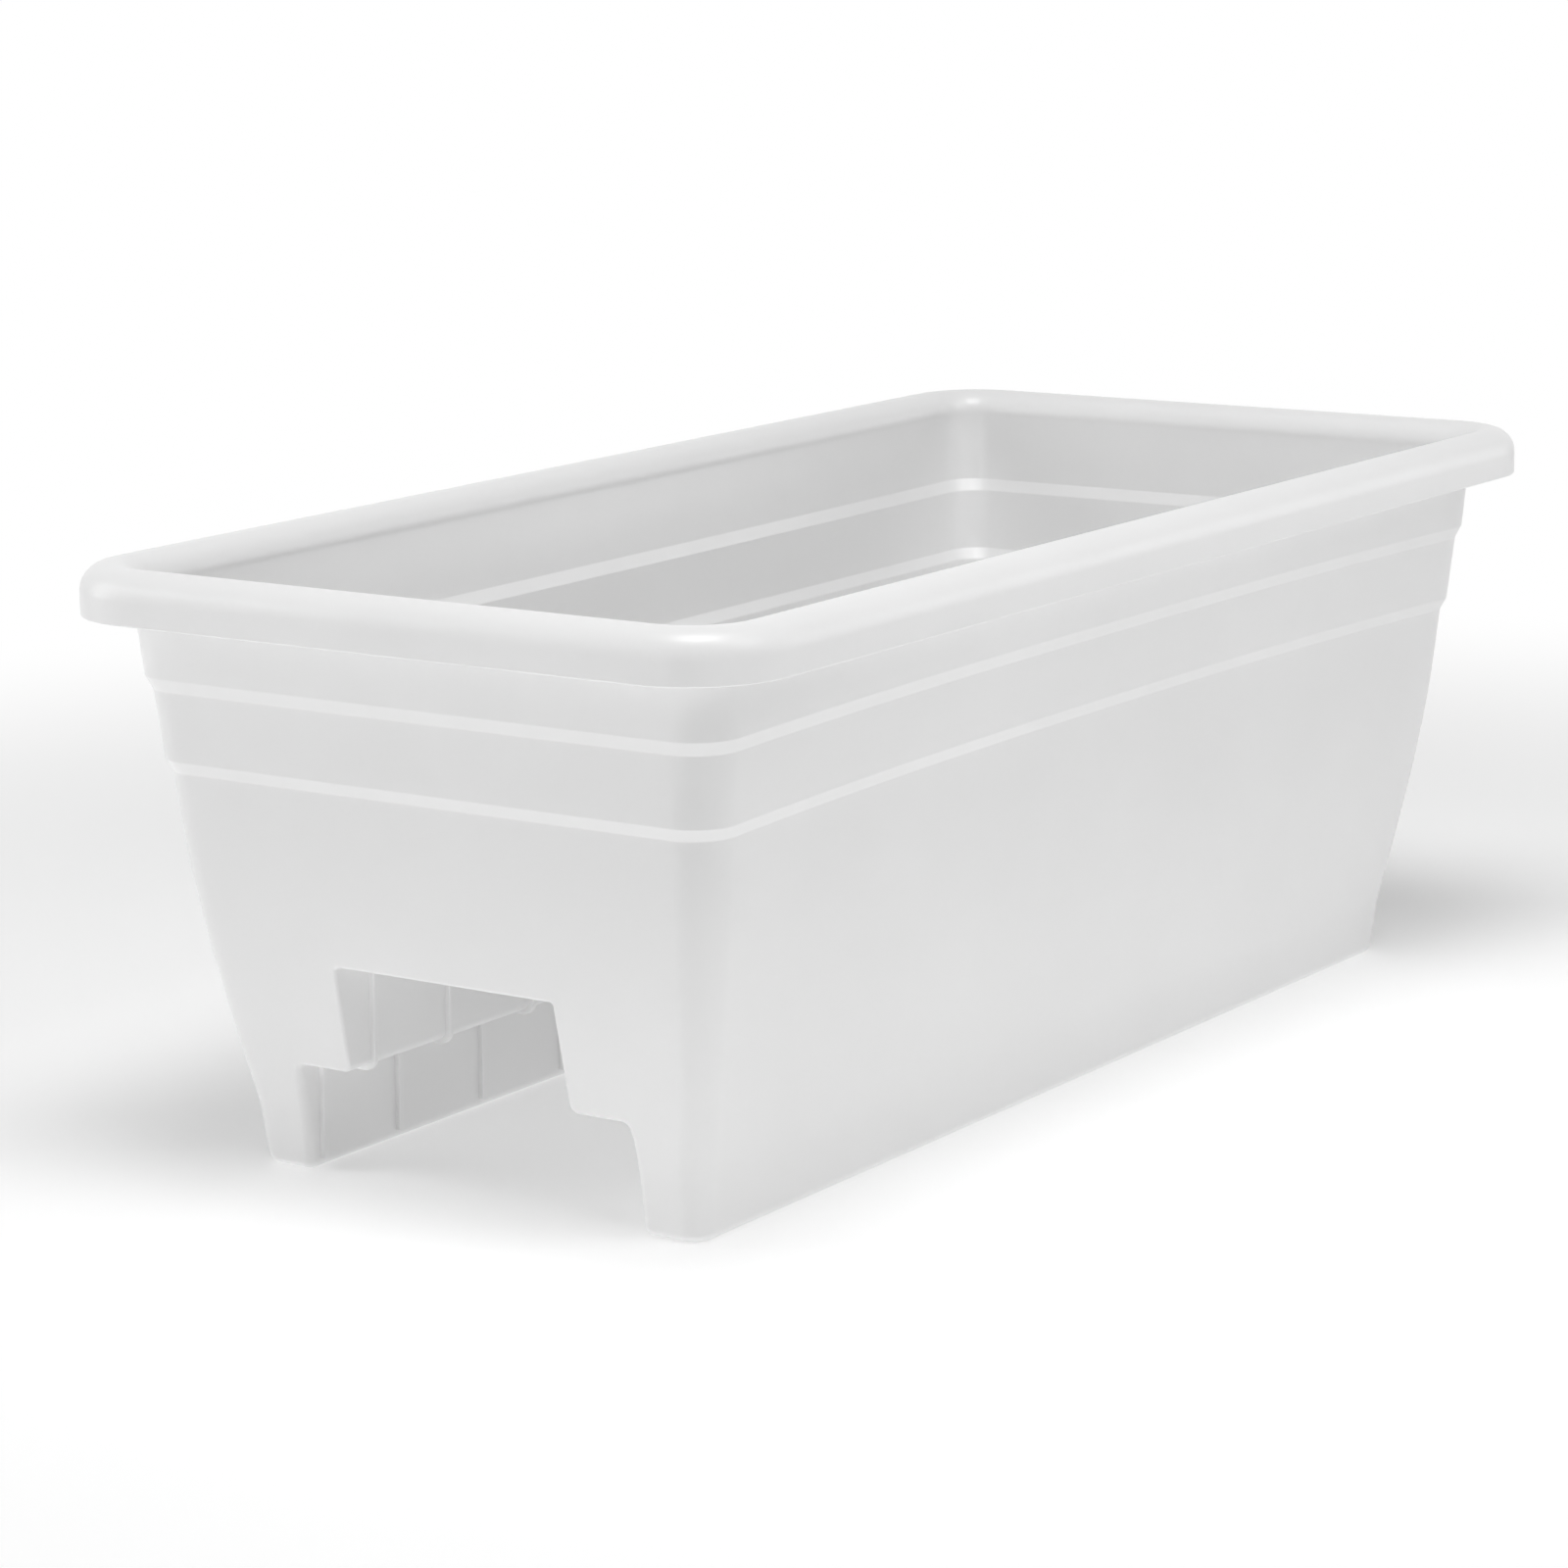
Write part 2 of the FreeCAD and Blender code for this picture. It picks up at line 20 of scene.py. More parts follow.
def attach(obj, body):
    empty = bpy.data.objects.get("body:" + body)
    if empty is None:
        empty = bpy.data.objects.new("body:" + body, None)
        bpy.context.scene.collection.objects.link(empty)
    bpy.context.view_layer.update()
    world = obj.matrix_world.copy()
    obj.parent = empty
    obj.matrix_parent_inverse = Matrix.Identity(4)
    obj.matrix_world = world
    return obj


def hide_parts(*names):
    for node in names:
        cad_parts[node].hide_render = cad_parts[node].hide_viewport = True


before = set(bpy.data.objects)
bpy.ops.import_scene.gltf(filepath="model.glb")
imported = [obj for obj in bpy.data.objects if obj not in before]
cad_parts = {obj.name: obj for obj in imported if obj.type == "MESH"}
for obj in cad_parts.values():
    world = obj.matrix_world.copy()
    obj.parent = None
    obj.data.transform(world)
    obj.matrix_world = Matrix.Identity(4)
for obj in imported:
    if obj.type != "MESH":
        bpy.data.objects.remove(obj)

log = logging.getLogger("planter")
Array = np.ndarray

# One millimetre in metres.
MM = 0.001
# Folds beyond this stay sharp edges, and all else is shaded smooth.
SHARP_FOLD = math.radians(80)
# How strongly the large faces pull the normals at their corners.
NORMAL_WEIGHT = 60
# Decimals of a millimetre to which points are welded.
WELD_DIGITS = 3
# Points of a flat patch that lie this near each other, in millimetres, count as one.
SAME_PLACE = 1e-5
# Square of the distance within which a patch's points go back to where they were given.
SNAP_SQUARED = 1e-6
# The least divisor, so that a stretch of no length never divides by 0.
TINY = 1e-12
# From none of something to all of it.
NONE_TO_ALL = (0.0, 1.0)


class Side(Enum):
    """Which way along an axis a feature lies."""

    LOW = -1
    HIGH = 1


@dataclass(frozen=True)
class Station:
    """One height of a wall: how the ring of the box lies there.

    Args:
        height: height above the ground.
        inset: how far the wall is set in from the wall line under the rim.
        corner: radius of the upright corners.
        front_bow: how far the front is drawn in at mid length.
        back_bow: how far the back is drawn in at mid length.
    """

    height: float
    inset: float
    corner: float
    front_bow: float = 0.0
    back_bow: float = 0.0


@dataclass
class BoxSizes:
    """The moulded box's sizes: the CAD's, but for softer edges on the steps and the lip.

    Args:
        half_length: from the middle to the wall line of an end, under the rim.
        half_width: from the middle to the wall line of a side.
        wall: thickness of the plastic.
        rim_overhang: how far the rim stands out from the wall line.
        crest: height of the rim's top.
        rim_drop: from the crest down to the lip's lower edge.
        rim_outer_radius: rounding of the rim's outer shoulder.
        rim_flat: level stretch between the rim's two shoulders.
        rim_neck: upright stretch under the inner shoulder.
        lip_edge_radius: rounding of the lip's lower edge.
        corner_top: radius of the upright corners under the rim.
        corner_foot: the same at the ground.
        step_radius: rounding of the steps' edges.
        foot_radius: rounding round the soles and the feet's mouths.
        slot_foot: half width of the rail slot at the ground.
        slot_draft: how far each of the slot's walls leans out to its foot.
        ledge_depth: width of the slot's ledge.
        ledge_height: height of the ledge.
        slot_height: height of the slot's top.
        slot_root_radius: rounding under the ledge.
        slot_nose_radius: rounding where the ledge turns up.
        slot_top_radius: rounding at the slot's top.
        feet_top: height where the feet's rows end.
        slot_clear: height of a clear wall above the slot.
        lower_wall: heights and insets of the wall below the steps.
        steps: heights and insets of the two steps.
        front_bows: heights, and how far the front is drawn in at mid length.
        back_bows: the same of the back.
    """

    half_length: float = 286.0
    half_width: float = 133.6
    wall: float = 2.5
    rim_overhang: float = 18.8
    crest: float = 228.6
    rim_drop: float = 19.0
    rim_outer_radius: float = 10.0
    rim_flat: float = 1.5
    rim_neck: float = 1.6
    lip_edge_radius: float = 0.8
    corner_top: float = 18.0
    corner_foot: float = 9.0
    step_radius: float = 2.2
    foot_radius: float = 3.6
    slot_foot: float = 76.2
    slot_draft: float = 0.8
    ledge_depth: float = 25.9
    ledge_height: float = 42.8
    slot_height: float = 84.4
    slot_root_radius: float = 2.5
    slot_nose_radius: float = 3.5
    slot_top_radius: float = 1.6
    feet_top: float = 36.0
    slot_clear: float = 100.0
    lower_wall: tuple[tuple[float, float], ...] = (
        (0.0, 32.5), (22.75, 30.0), (54.79, 23.56), (86.83, 17.63), (118.86, 12.92), (150.9, 9.55))
    steps: tuple[tuple[float, float], ...] = (
        (150.9, 9.55), (155.6, 7.5), (181.7, 4.8), (186.8, 2.75))
    front_bows: tuple[tuple[float, float], ...] = (
        (0.0, 0.0), (22.75, 1.35), (54.79, 4.05), (86.83, 6.75), (118.86, 8.7), (153.0, 9.6),
        (184.0, 7.7), (217.2, 0.0))
    back_bows: tuple[tuple[float, float], ...] = (
        (0.0, 0.0), (22.75, 0.2), (118.86, 1.1), (153.0, 1.2), (184.0, 2.3), (217.2, 0.0))

    @property
    def rim_inner_radius(self) -> float:
        """Radius of the rim's inner shoulder."""
        return self.rim_overhang + self.wall - self.rim_outer_radius - self.rim_flat

    @property
    def root(self) -> float:
        """Height where the wall meets the rim."""
        return self.crest - self.rim_inner_radius - self.rim_neck

    def corner_at(self, height: Array | float) -> Array | float:
        """Radius of the upright corners, which tapers evenly from the rim to the ground."""
        return self.corner_foot + (self.corner_top - self.corner_foot) * height / self.root


def smooth_curve(knots: tuple[tuple[float, float], ...], at: Array) -> Array:
    """Cubic through the knots, with slopes that never overshoot.

    Each knot's slope is the harmonic mean of its neighbours' slopes, and the span between two
    knots is the Hermite cubic of their values and slopes.

    Args:
        knots: pairs of place and value, in order of place.
        at: places to read.

    Returns:
        The values at those places.
    """
    x, y = np.array(knots, float).T
    secant = np.diff(y) / np.diff(x)
    slope = np.empty_like(x)
    slope[0], slope[-1] = secant[0], secant[-1]
    product = secant[:-1] * secant[1:]
    total = secant[:-1] + secant[1:]
    slope[1:-1] = np.where(product > 0, 2 * product / np.where(total == 0, 1, total), 0.0)
    k = np.clip(np.searchsorted(x, at, side="right") - 1, 0, len(x) - 2)
    step = x[k + 1] - x[k]
    t = np.clip((at - x[k]) / step, 0, 1)
    return (y[k] * (1 + 2 * t) * (1 - t) ** 2 + slope[k] * step * t * (1 - t) ** 2
            + y[k + 1] * t * t * (3 - 2 * t) + slope[k + 1] * step * t * t * (t - 1))


def rounded(points: Array, radii: Array, segments: int = 5) -> Array:
    """A polyline with arcs in place of its corners.

    The arc of a corner with opening angle A starts and ends radius / tan(A / 2) from it.

    Args:
        points: corners of the polyline, one row each.
        radii: radius at each corner, 0 for a sharp one. The two ends are always sharp.
        segments: straight pieces in each arc.

    Returns:
        The points of the rounded polyline.
    """
    pieces = [points[:1]]
    for before, here, after, radius in zip(points[:-2], points[1:-1], points[2:], radii[1:-1]):
        if radius <= 0:
            pieces.append(here[None])
            continue
        a, b = before - here, after - here
        a, b = a / np.linalg.norm(a), b / np.linalg.norm(b)
        half = math.acos(float(np.clip(a @ b, -1, 1))) / 2
        middle = (a + b) / np.linalg.norm(a + b)
        centre = here + middle * radius / math.sin(half)
        sweep = np.linspace(half - math.pi / 2, math.pi / 2 - half, segments + 1)[:, None]
        across = (b - a) / np.linalg.norm(b - a)
        pieces.append(centre - radius * (middle * np.cos(sweep) - across * np.sin(sweep)))
    pieces.append(points[-1:])
    return np.concatenate(pieces)


@dataclass
class Patchwork:
    """Collects grids and triangulated patches, and welds them into one mesh.

    Args:
        points: points of the patches so far.
        faces: their faces, which count the points of all patches as one list.
        count: how many points there are.
    """

    points: list[Array] = field(default_factory=list)
    faces: list[Array] = field(default_factory=list)
    count: int = 0

    def add(self, points: Array, faces: Array, flip: bool = False) -> None:
        """Add a patch.

        Args:
            points: its points, one row each.
            faces: rows of four point numbers. A triangle repeats its last one.
            flip: turn the faces over.
        """
        self.points.append(points)
        self.faces.append((faces[:, ::-1] if flip else faces) + self.count)
        self.count += len(points)

    def grid(self, points: Array, closed: bool = False, flip: bool = False) -> None:
        """Add a grid of quads: row i + 1 lies beyond row i, and columns run to the right.

        Args:
            points: grid of points, shaped rows, columns, 3.
            closed: join the last column to the first.
            flip: turn the faces over.
        """
        rows, columns = points.shape[:2]
        number = np.arange(rows * columns).reshape(rows, columns)
        if closed:
            number = np.concatenate([number, number[:, :1]], 1)
        quads = np.stack([number[:-1, :-1], number[:-1, 1:], number[1:, 1:], number[1:, :-1]], -1)
        self.add(points.reshape(-1, 3), quads.reshape(-1, 4), flip)

    def mesh(self, name: str) -> bpy.types.Mesh:
        """Weld points that share a place, drop faces that lose their area, and make the mesh.

        It is shaded smooth, but for the folds beyond SHARP_FOLD.

        Args:
            name: name of the mesh.

        Returns:
            The mesh, in metres.
        """
        points, faces = np.concatenate(self.points), np.concatenate(self.faces)
        _, first, same = np.unique(
            np.round(points, WELD_DIGITS), axis=0, return_index=True, return_inverse=True)
        faces = same.reshape(-1)[faces]
        whole = [tuple(dict.fromkeys(face)) for face in faces.tolist()]
        whole = [face for face in whole if len(face) > 2]
        mesh = bpy.data.meshes.new(name)
        mesh.from_pydata((points[first] * MM).tolist(), [], whole)
        mesh.validate()
        mesh.polygons.foreach_set("use_smooth", np.ones(len(mesh.polygons), bool))
        mesh.set_sharp_from_angle(angle=SHARP_FOLD)
        mesh.update()
        return mesh


def put(name: str, data: bpy.types.ID) -> bpy.types.Object:
    """Put a mesh, a light or a camera in the scene.

    Args:
        name: name of the object.
        data: the mesh, light or camera.

    Returns:
        The new object.
    """
    placed = bpy.data.objects.new(name, data)
    bpy.context.scene.collection.objects.link(placed)
    return placed


def make_piece(
    name: str, mesh: bpy.types.Mesh, material: bpy.types.Material, body: str,
) -> bpy.types.Object:
    """Put a mesh in the scene as a piece of the object.

    Args:
        name: name of the piece.
        mesh: its mesh, already in place.
        material: its finish.
        body: CAD body that it moves with.

    Returns:
        The new object.
    """
    mesh.materials.append(material)
    piece = put(name, mesh)
    level = piece.modifiers.new("even_normals", "WEIGHTED_NORMAL")
    level.weight = NORMAL_WEIGHT
    level.keep_sharp = True
    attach(piece, body)
    log.info("%s: %d faces on %s", name, len(mesh.polygons), body)
    return piece


@dataclass
class Ring:
    """How a level ring round the box is sampled.

    Args:
        side_columns: columns along the front and the back.
        corner_columns: columns round a corner.
        end_columns: columns along an end.
        bow_power: power of the curve by which the sides are drawn in.
    """

    side_columns: int = 96
    corner_columns: int = 12
    end_columns: int = 33
    bow_power: float = 2.5

    def half(self, sizes: BoxSizes, station: Station, side: Side) -> Array:
        """The front or back side with its two corners, from the left end round to the right.

        A side lies at y = b - bow (1 - |x / reach| ** power), where b is the half width. Each
        corner is an arc that leaves the side along its slope and meets the end wall square.

        Args:
            sizes: the box's sizes.
            station: the level.
            side: LOW for the front and HIGH for the back.

        Returns:
            Points along the half ring, one row each.
        """
        a = sizes.half_length - station.inset
        b = sizes.half_width - station.inset
        r = station.corner
        bow = station.front_bow if side is Side.LOW else station.back_bow
        lean = math.atan(self.bow_power * bow / (a - r))
        reach = a - r - r * math.sin(lean)
        edge = b - r + r * math.cos(lean)
        turn = np.linspace(math.pi / 2, -lean, self.corner_columns + 1)
        corner = np.stack([a - r + r * np.sin(turn), b - r + r * np.cos(turn)], 1)
        x = np.linspace(reach, -reach, self.side_columns + 1)[1:-1]
        middle = np.stack([x, edge - bow * (1 - np.abs(x / reach) ** self.bow_power)], 1)
        line = np.concatenate([corner, middle, corner[::-1] * (-1, 1)])[::-1]
        line = line * (1, side.value)
        return np.column_stack([line, np.full(len(line), station.height)])

    def end(self, sizes: BoxSizes, station: Station, side: Side) -> Array:
        """Points inside an end wall's straight stretch.

        Args:
            sizes: the box's sizes.
            station: the level.
            side: LOW for the left end and HIGH for the right.

        Returns:
            The points, from front to back, without the two ends of the stretch.
        """
        reach = sizes.half_width - station.inset - station.corner
        y = np.linspace(-reach, reach, self.end_columns + 1)[1:-1]
        x = np.full(len(y), side.value * (sizes.half_length - station.inset))
        return np.column_stack([x, y, np.full(len(y), station.height)])

    def whole(self, sizes: BoxSizes, station: Station) -> Array:
        """The closed ring round the box.

        Args:
            sizes: the box's sizes.
            station: the level.

        Returns:
            Its points, anticlockwise from the front left.
        """
        front = self.half(sizes, station, Side.LOW)
        back = self.half(sizes, station, Side.HIGH)[::-1]
        right = self.end(sizes, station, Side.HIGH)
        left = self.end(sizes, station, Side.LOW)[::-1]
        return np.concatenate([front, right, back, left])


@dataclass
class Arch:
    """The stepped outline of the rail slot, seen along the box.

    Args:
        sizes: the box's sizes.
        grow: how far the outline is grown into the plastic.
        root_radius: inner corner under the ledge.
        nose_radius: corner where the ledge turns up.
        top_radius: corner at the top of the slot.
        base: height where the outline starts.
        arc_segments: straight pieces in each rounding.
    """

    sizes: BoxSizes
    grow: float
    root_radius: float
    nose_radius: float
    top_radius: float
    base: float
    arc_segments: int = 6

    @classmethod
    def grown(cls, sizes: BoxSizes, grow: float, base: float) -> "Arch":
        """The slot's outline grown into the plastic, where outer corners gain what inner ones lose.

        Args:
            sizes: the box's sizes.
            grow: how far it is grown.
            base: height where it starts.

        Returns:
            The outline.
        """
        return cls(sizes, grow, sizes.slot_root_radius + grow, sizes.slot_nose_radius - grow,
                   sizes.slot_top_radius + grow, base)

    def face(self, height: float) -> float:
        """Half width of the slot under the ledge, at a height."""
        s = self.sizes
        return s.slot_foot + self.grow - s.slot_draft * height / (s.ledge_height + self.grow)

    def line(self, gap: float = 5.0) -> tuple[Array, Array]:
        """The outline from the front foot over to the back foot.

        Args:
            gap: the longest stretch between two points.

        Returns:
            Its points (y, z), and at each the unit normal into the plastic, which is square to
            the wall, ledge or top and turns evenly round each corner.
        """
        s, g = self.sizes, self.grow
        ledge, top = s.ledge_height + g, s.slot_height + g
        wide = s.slot_foot - s.slot_draft + g
        narrow = wide - s.ledge_depth
        corners = np.array([
            (self.face(self.base), self.base), (wide, ledge), (narrow + s.slot_draft, ledge),
            (narrow, top), (0.0, top)])
        radii = np.array([0, self.root_radius, self.nose_radius, self.top_radius, 0])
        half = rounded(corners, radii, self.arc_segments)
        square = np.array([(1.0, 0.0), (0.0, 1.0), (1.0, 0.0), (0.0, 1.0)])
        normals = [square[:1]]
        for first, second in zip(square[:-1], square[1:]):
            t = np.linspace(0, math.pi / 2, self.arc_segments + 1)[:, None]
            normals.append(first * np.cos(t) + second * np.sin(t))
        normals.append(square[-1:])
        normal = np.concatenate(normals)
        half, normal = self.fill(half, normal, gap)
        mirror = np.array([-1.0, 1.0])
        return (np.concatenate([half * mirror, half[-2::-1]]),
                np.concatenate([normal * mirror, normal[-2::-1]]))

    def fill(self, line: Array, normal: Array, gap: float) -> tuple[Array, Array]:
        """Add points so that none of the outline's stretches is longer than the gap.

        Args:
            line: the outline's points.
            normal: the unit normal at each.
            gap: the longest stretch between two points.

        Returns:
            The points and the normals, with the added ones spaced evenly between.
        """
        points, normals = [line[:1]], [normal[:1]]
        for k in range(1, len(line)):
            pieces = max(1, math.ceil(float(np.linalg.norm(line[k] - line[k - 1])) / gap))
            t = np.linspace(0, 1, pieces + 1)[1:, None]
            points.append(line[k - 1] + (line[k] - line[k - 1]) * t)
            normals.append(normal[k - 1] + (normal[k] - normal[k - 1]) * t)
        return np.concatenate(points), np.concatenate(normals)


@dataclass
class Skin:
    """One skin of the shell below the rim: the outside, or the same form set in by the wall.

    Args:
        sizes: the box's sizes.
        ring: how rings are sampled.
        shift: how far the skin is set in from the outside.
        floor: height of the feet's floor on this skin.
        edge_radius: rounding between the floor and the walls round it.
        mouth_radius: rounding between an end wall and the slot beside the feet.
        ledge_mouth_radius: the same above the feet.
        arch: outline of the slot on this skin.
        drain_radius: hole in the floor at a drain.
        outwards: whether the faces look away from the soil.
        least_corner: the smallest upright corner.
        mouth_steps: steps round the mouth's rounding.
        mouth_clearance: distance that the end wall's inner points keep from the mouth.
        slot_columns: columns along the slot.
        toe_columns: columns across a foot's end.
        edge_steps: steps round the edge of a foot's floor.
        foot_rows: heights of a foot's rows above its floor.
        least_row: height that the last of them keeps from the feet's top.
        strip_rows: rows between the feet's top and the clear wall above the slot.
        strip_columns: columns of the end wall there.
        wall_rows: stations from there up to the lower step.
        step_segments: straight pieces in each rounding of a step.
        longest_row: the greatest height between two stations.
    """

    sizes: BoxSizes
    ring: Ring
    shift: float
    floor: float
    edge_radius: float
    mouth_radius: float
    ledge_mouth_radius: float
    arch: Arch
    drain_radius: float
    outwards: bool
    least_corner: float = 0.5
    mouth_steps: int = 5
    mouth_clearance: float = 2.0
    slot_columns: int = 40
    toe_columns: int = 4
    edge_steps: int = 6
    foot_rows: tuple[float, ...] = (8.0, 12.0, 16.0, 19.5, 22.75, 25.5, 29.0, 32.5)
    least_row: float = 1.0
    strip_rows: int = 16
    strip_columns: int = 30
    wall_rows: int = 14
    step_segments: int = 4
    longest_row: float = 7.0

    def station(self, height: float, trim: float = 0.0) -> Station:
        """The ring of this skin at a height.

        The inset runs straight up the feet, then on one smooth curve up to the lower step, and
        straight from knot to knot above it.

        Args:
            height: the height.
            trim: how far the ring is drawn in further.

        Returns:
            The ring's station.
        """
        s = self.sizes
        raised = height - self.floor
        if raised <= s.lower_wall[1][0]:
            inset = float(np.interp(raised, *np.array(s.lower_wall[:2]).T))
        elif raised <= s.steps[0][0]:
            inset = float(smooth_curve(s.lower_wall[1:], np.array(raised)))
        else:
            upper = s.steps + ((s.root - self.floor, 0.0),)
            inset = float(np.interp(raised, *np.array(upper).T))
        under_rim = np.array(min(raised, s.root))
        front, back = (float(smooth_curve(bows, under_rim)) for bows in (s.front_bows, s.back_bows))
        corner = max(s.corner_at(raised) - self.shift - trim, self.least_corner)
        return Station(height, inset + self.shift + trim, corner, front, back)

    def wall_profile(self) -> list[Station]:
        """The wall between the slot and the rim, with the steps' edges eased.

        Returns:
            Its stations, from above the slot up to the rim's root.
        """
        s = self.sizes
        heights = np.linspace(s.slot_clear, s.steps[0][0] + self.floor, self.wall_rows)
        lower = [(self.station(z).inset, z) for z in heights]
        steps = [(inset + self.shift, z + self.floor) for z, inset in s.steps[1:]]
        points = np.array(lower + steps + [(self.shift, s.root)])
        radii = np.zeros(len(points))
        radii[len(lower) - 1:-1] = s.step_radius
        line = rounded(points, radii, self.step_segments)
        found = []
        for a, b in zip(line[:-1], line[1:]):
            pieces = max(1, math.ceil(abs(b[1] - a[1]) / self.longest_row))
            found.extend(a + (b - a) * t for t in np.arange(pieces) / pieces)
        found.append(line[-1])
        stations = []
        for inset, z in found:
            at = self.station(float(z))
            stations.append(Station(float(z), float(inset), at.corner, at.front_bow, at.back_bow))
        end = stations[-1]
        stations[-1] = Station(s.root, end.inset, s.corner_top - self.shift)
        return stations

    def slot_row(
        self, across: float, height: float, normal: Array, radius: float, trim: float = 0.0,
    ) -> Array:
        """One line of the slot's wall, from end wall to end wall, with a rounded mouth at each.

        At turn t the mouth lies radius (1 - sin t) into the plastic from the slot's wall and
        radius (1 - cos t) in from the end wall.

        Args:
            across: y of the line on the slot's wall.
            height: z of the line on the slot's wall.
            normal: unit normal (y, z) into the plastic.
            radius: radius of the mouth.
            trim: how far the end walls are drawn in.

        Returns:
            Points from the left mouth to the right one.
        """
        turn = np.linspace(0, math.pi / 2, self.mouth_steps + 1)
        aside, depth = radius * (1 - np.sin(turn)), radius * (1 - np.cos(turn))
        y, z = across + normal[0] * aside, height + normal[1] * aside
        wall = np.array([self.sizes.half_length - self.station(float(h)).inset for h in z])
        x = wall - trim - depth
        inner = np.linspace(-x[-1], x[-1], self.slot_columns + 1)[1:-1]
        ones = np.ones(len(inner))
        return np.concatenate([
            np.column_stack([-x, y, z]),
            np.column_stack([inner, y[-1] * ones, z[-1] * ones]),
            np.column_stack([x, y, z])[::-1]])

    def foot_loop(self, side: Side, height: float, trim: float = 0.0) -> Array:
        """The closed outline of a foot at a height: round the outside, then back along the slot.

        Args:
            side: LOW for the front foot and HIGH for the back one.
            height: z of the loop.
            trim: how far the loop is drawn in.

        Returns:
            The loop's points, from the left end of the outside.
        """
        outside = self.ring.half(self.sizes, self.station(height, trim), side)
        face = self.arch.face(height) + trim
        slot = self.slot_row(side.value * face, height, np.array([side.value, 0.0]),
                             self.mouth_radius - trim, trim)[::-1]
        slot[:, 2] = height
        wall = self.sizes.half_length - self.station(height).inset - trim
        slot[[0, -1], 0] = wall, -wall
        t = np.linspace(0, 1, self.toe_columns + 1)[1:-1, None]
        right = outside[-1] + (slot[0] - outside[-1]) * t
        left = slot[-1] + (outside[0] - slot[-1]) * t
        return np.concatenate([outside, right, slot, left])

    def feet(self, work: Patchwork) -> None:
        """Build both feet, from their floors up to where the walls take over.

        Args:
            work: the mesh that they go into.
        """
        s = self.sizes
        turn = np.linspace(0, math.pi / 2, self.edge_steps + 1)
        rows = [(self.floor + self.edge_radius * (1 - math.cos(t)), self.edge_radius * (1 - math.sin(t)))
                for t in turn]
        rest = np.array(self.foot_rows) + self.floor
        rows += [(z, 0.0) for z in rest if z < s.feet_top - self.least_row] + [(s.feet_top, 0.0)]
        for side in Side:
            loops = np.stack([self.foot_loop(side, z, trim) for z, trim in rows])
            flip = (side is Side.HIGH) == self.outwards
            work.grid(loops, closed=True, flip=flip)
            self.sole(work, loops[0], side)

    def sole(self, work: Patchwork, loop: Array, side: Side) -> None:
        """Build the flat floor inside a foot's lowest loop, with a hole at each drain.

        Args:
            work: the mesh that it goes into.
            loop: the foot's lowest loop.
            side: LOW for the front foot and HIGH for the back one.
        """
        drains = Drains(self.sizes)
        circle = self.drain_radius * drains.circle()
        centres = [c for c in drains.centres() if c[1] * side.value > 0]
        _, keep = np.unique(np.round(loop[:, :2], WELD_DIGITS), axis=0, return_index=True)
        outline = loop[np.sort(keep), :2]
        patch = flat_patch(outline, [circle + c for c in centres], np.zeros((0, 2)))
        points = np.column_stack([patch[0], np.full(len(patch[0]), self.floor)])
        work.add(points, patch[1], flip=self.outwards)

    def mouth_radii(self, line: Array) -> Array:
        """Radius of the mouth along the slot's outline: it eases from the feet's to the ledge's.

        Args:
            line: points (y, z) of the outline.

        Returns:
            The radius at each. Its share of the change is 3 t^2 - 2 t^3 of the way up.
        """
        s = self.sizes
        share = np.clip((line[:, 1] - s.feet_top) / (s.ledge_height + self.arch.grow - s.feet_top), 0, 1)
        share = share * share * (3 - 2 * share)
        return self.mouth_radius + (self.ledge_mouth_radius - self.mouth_radius) * share

    def slot_and_ends(self, work: Patchwork) -> None:
        """Build the slot's wall above the feet, and the walls that it opens through.

        Args:
            work: the mesh that they go into.
        """
        s = self.sizes
        line, normals = self.arch.line()
        radii = self.mouth_radii(line)
        rows = np.stack([self.slot_row(p[0], p[1], n, r) for p, n, r in zip(line, normals, radii)])
        wall = s.half_length - self.station(s.feet_top).inset
        for k in (0, -1):
            rows[k, [0, -1], 0] = -wall, wall
        work.grid(rows, flip=self.outwards)
        heights = np.linspace(s.feet_top, s.slot_clear, self.strip_rows + 1)
        for side in Side:
            mouth = rows[:, 0 if side is Side.LOW else -1, 1:]
            self.end_wall(work, mouth, heights, side)
        for side in Side:
            strip = np.stack([self.ring.half(s, self.station(z), side) for z in heights])
            work.grid(strip, flip=(side is Side.HIGH) == self.outwards)

    def end_wall(self, work: Patchwork, mouth: Array, heights: Array, side: Side) -> None:
        """Build an end wall between its corners, round the slot's mouth.

        The wall is straight from front to back, so it is laid out flat in (y, z) and each point
        then goes out to the wall's x at its height.

        Args:
            work: the mesh that it goes into.
            mouth: points (y, z) of the slot's mouth.
            heights: heights of the wall's rows.
            side: LOW for the left end and HIGH for the right.
        """
        s = self.sizes
        levels = [self.station(z) for z in heights]
        reach = np.array([s.half_width - level.inset - level.corner for level in levels])
        t = np.linspace(0, 1, self.toe_columns + 1)[1:-1, None]
        front = np.column_stack([-reach, heights])
        back = np.column_stack([reach, heights])
        top = self.ring.end(s, self.station(s.slot_clear), side)[:, 1:]
        toe_front = front[0] + (mouth[0] - front[0]) * t
        toe_back = mouth[-1] + (back[0] - mouth[-1]) * t
        outline = np.concatenate([front[:1], toe_front, mouth, toe_back, back, top[::-1], front[:0:-1]])
        inner = []
        for z, r in zip(heights[1:-1], reach[1:-1]):
            y = np.linspace(-r, r, self.strip_columns + 1)[1:-1]
            inner.append(np.column_stack([y, np.full(len(y), z)]))
        inner = np.concatenate(inner)
        inner = inner[distance_out(inner, mouth) > self.mouth_clearance]
        points, faces = flat_patch(outline, [], inner)
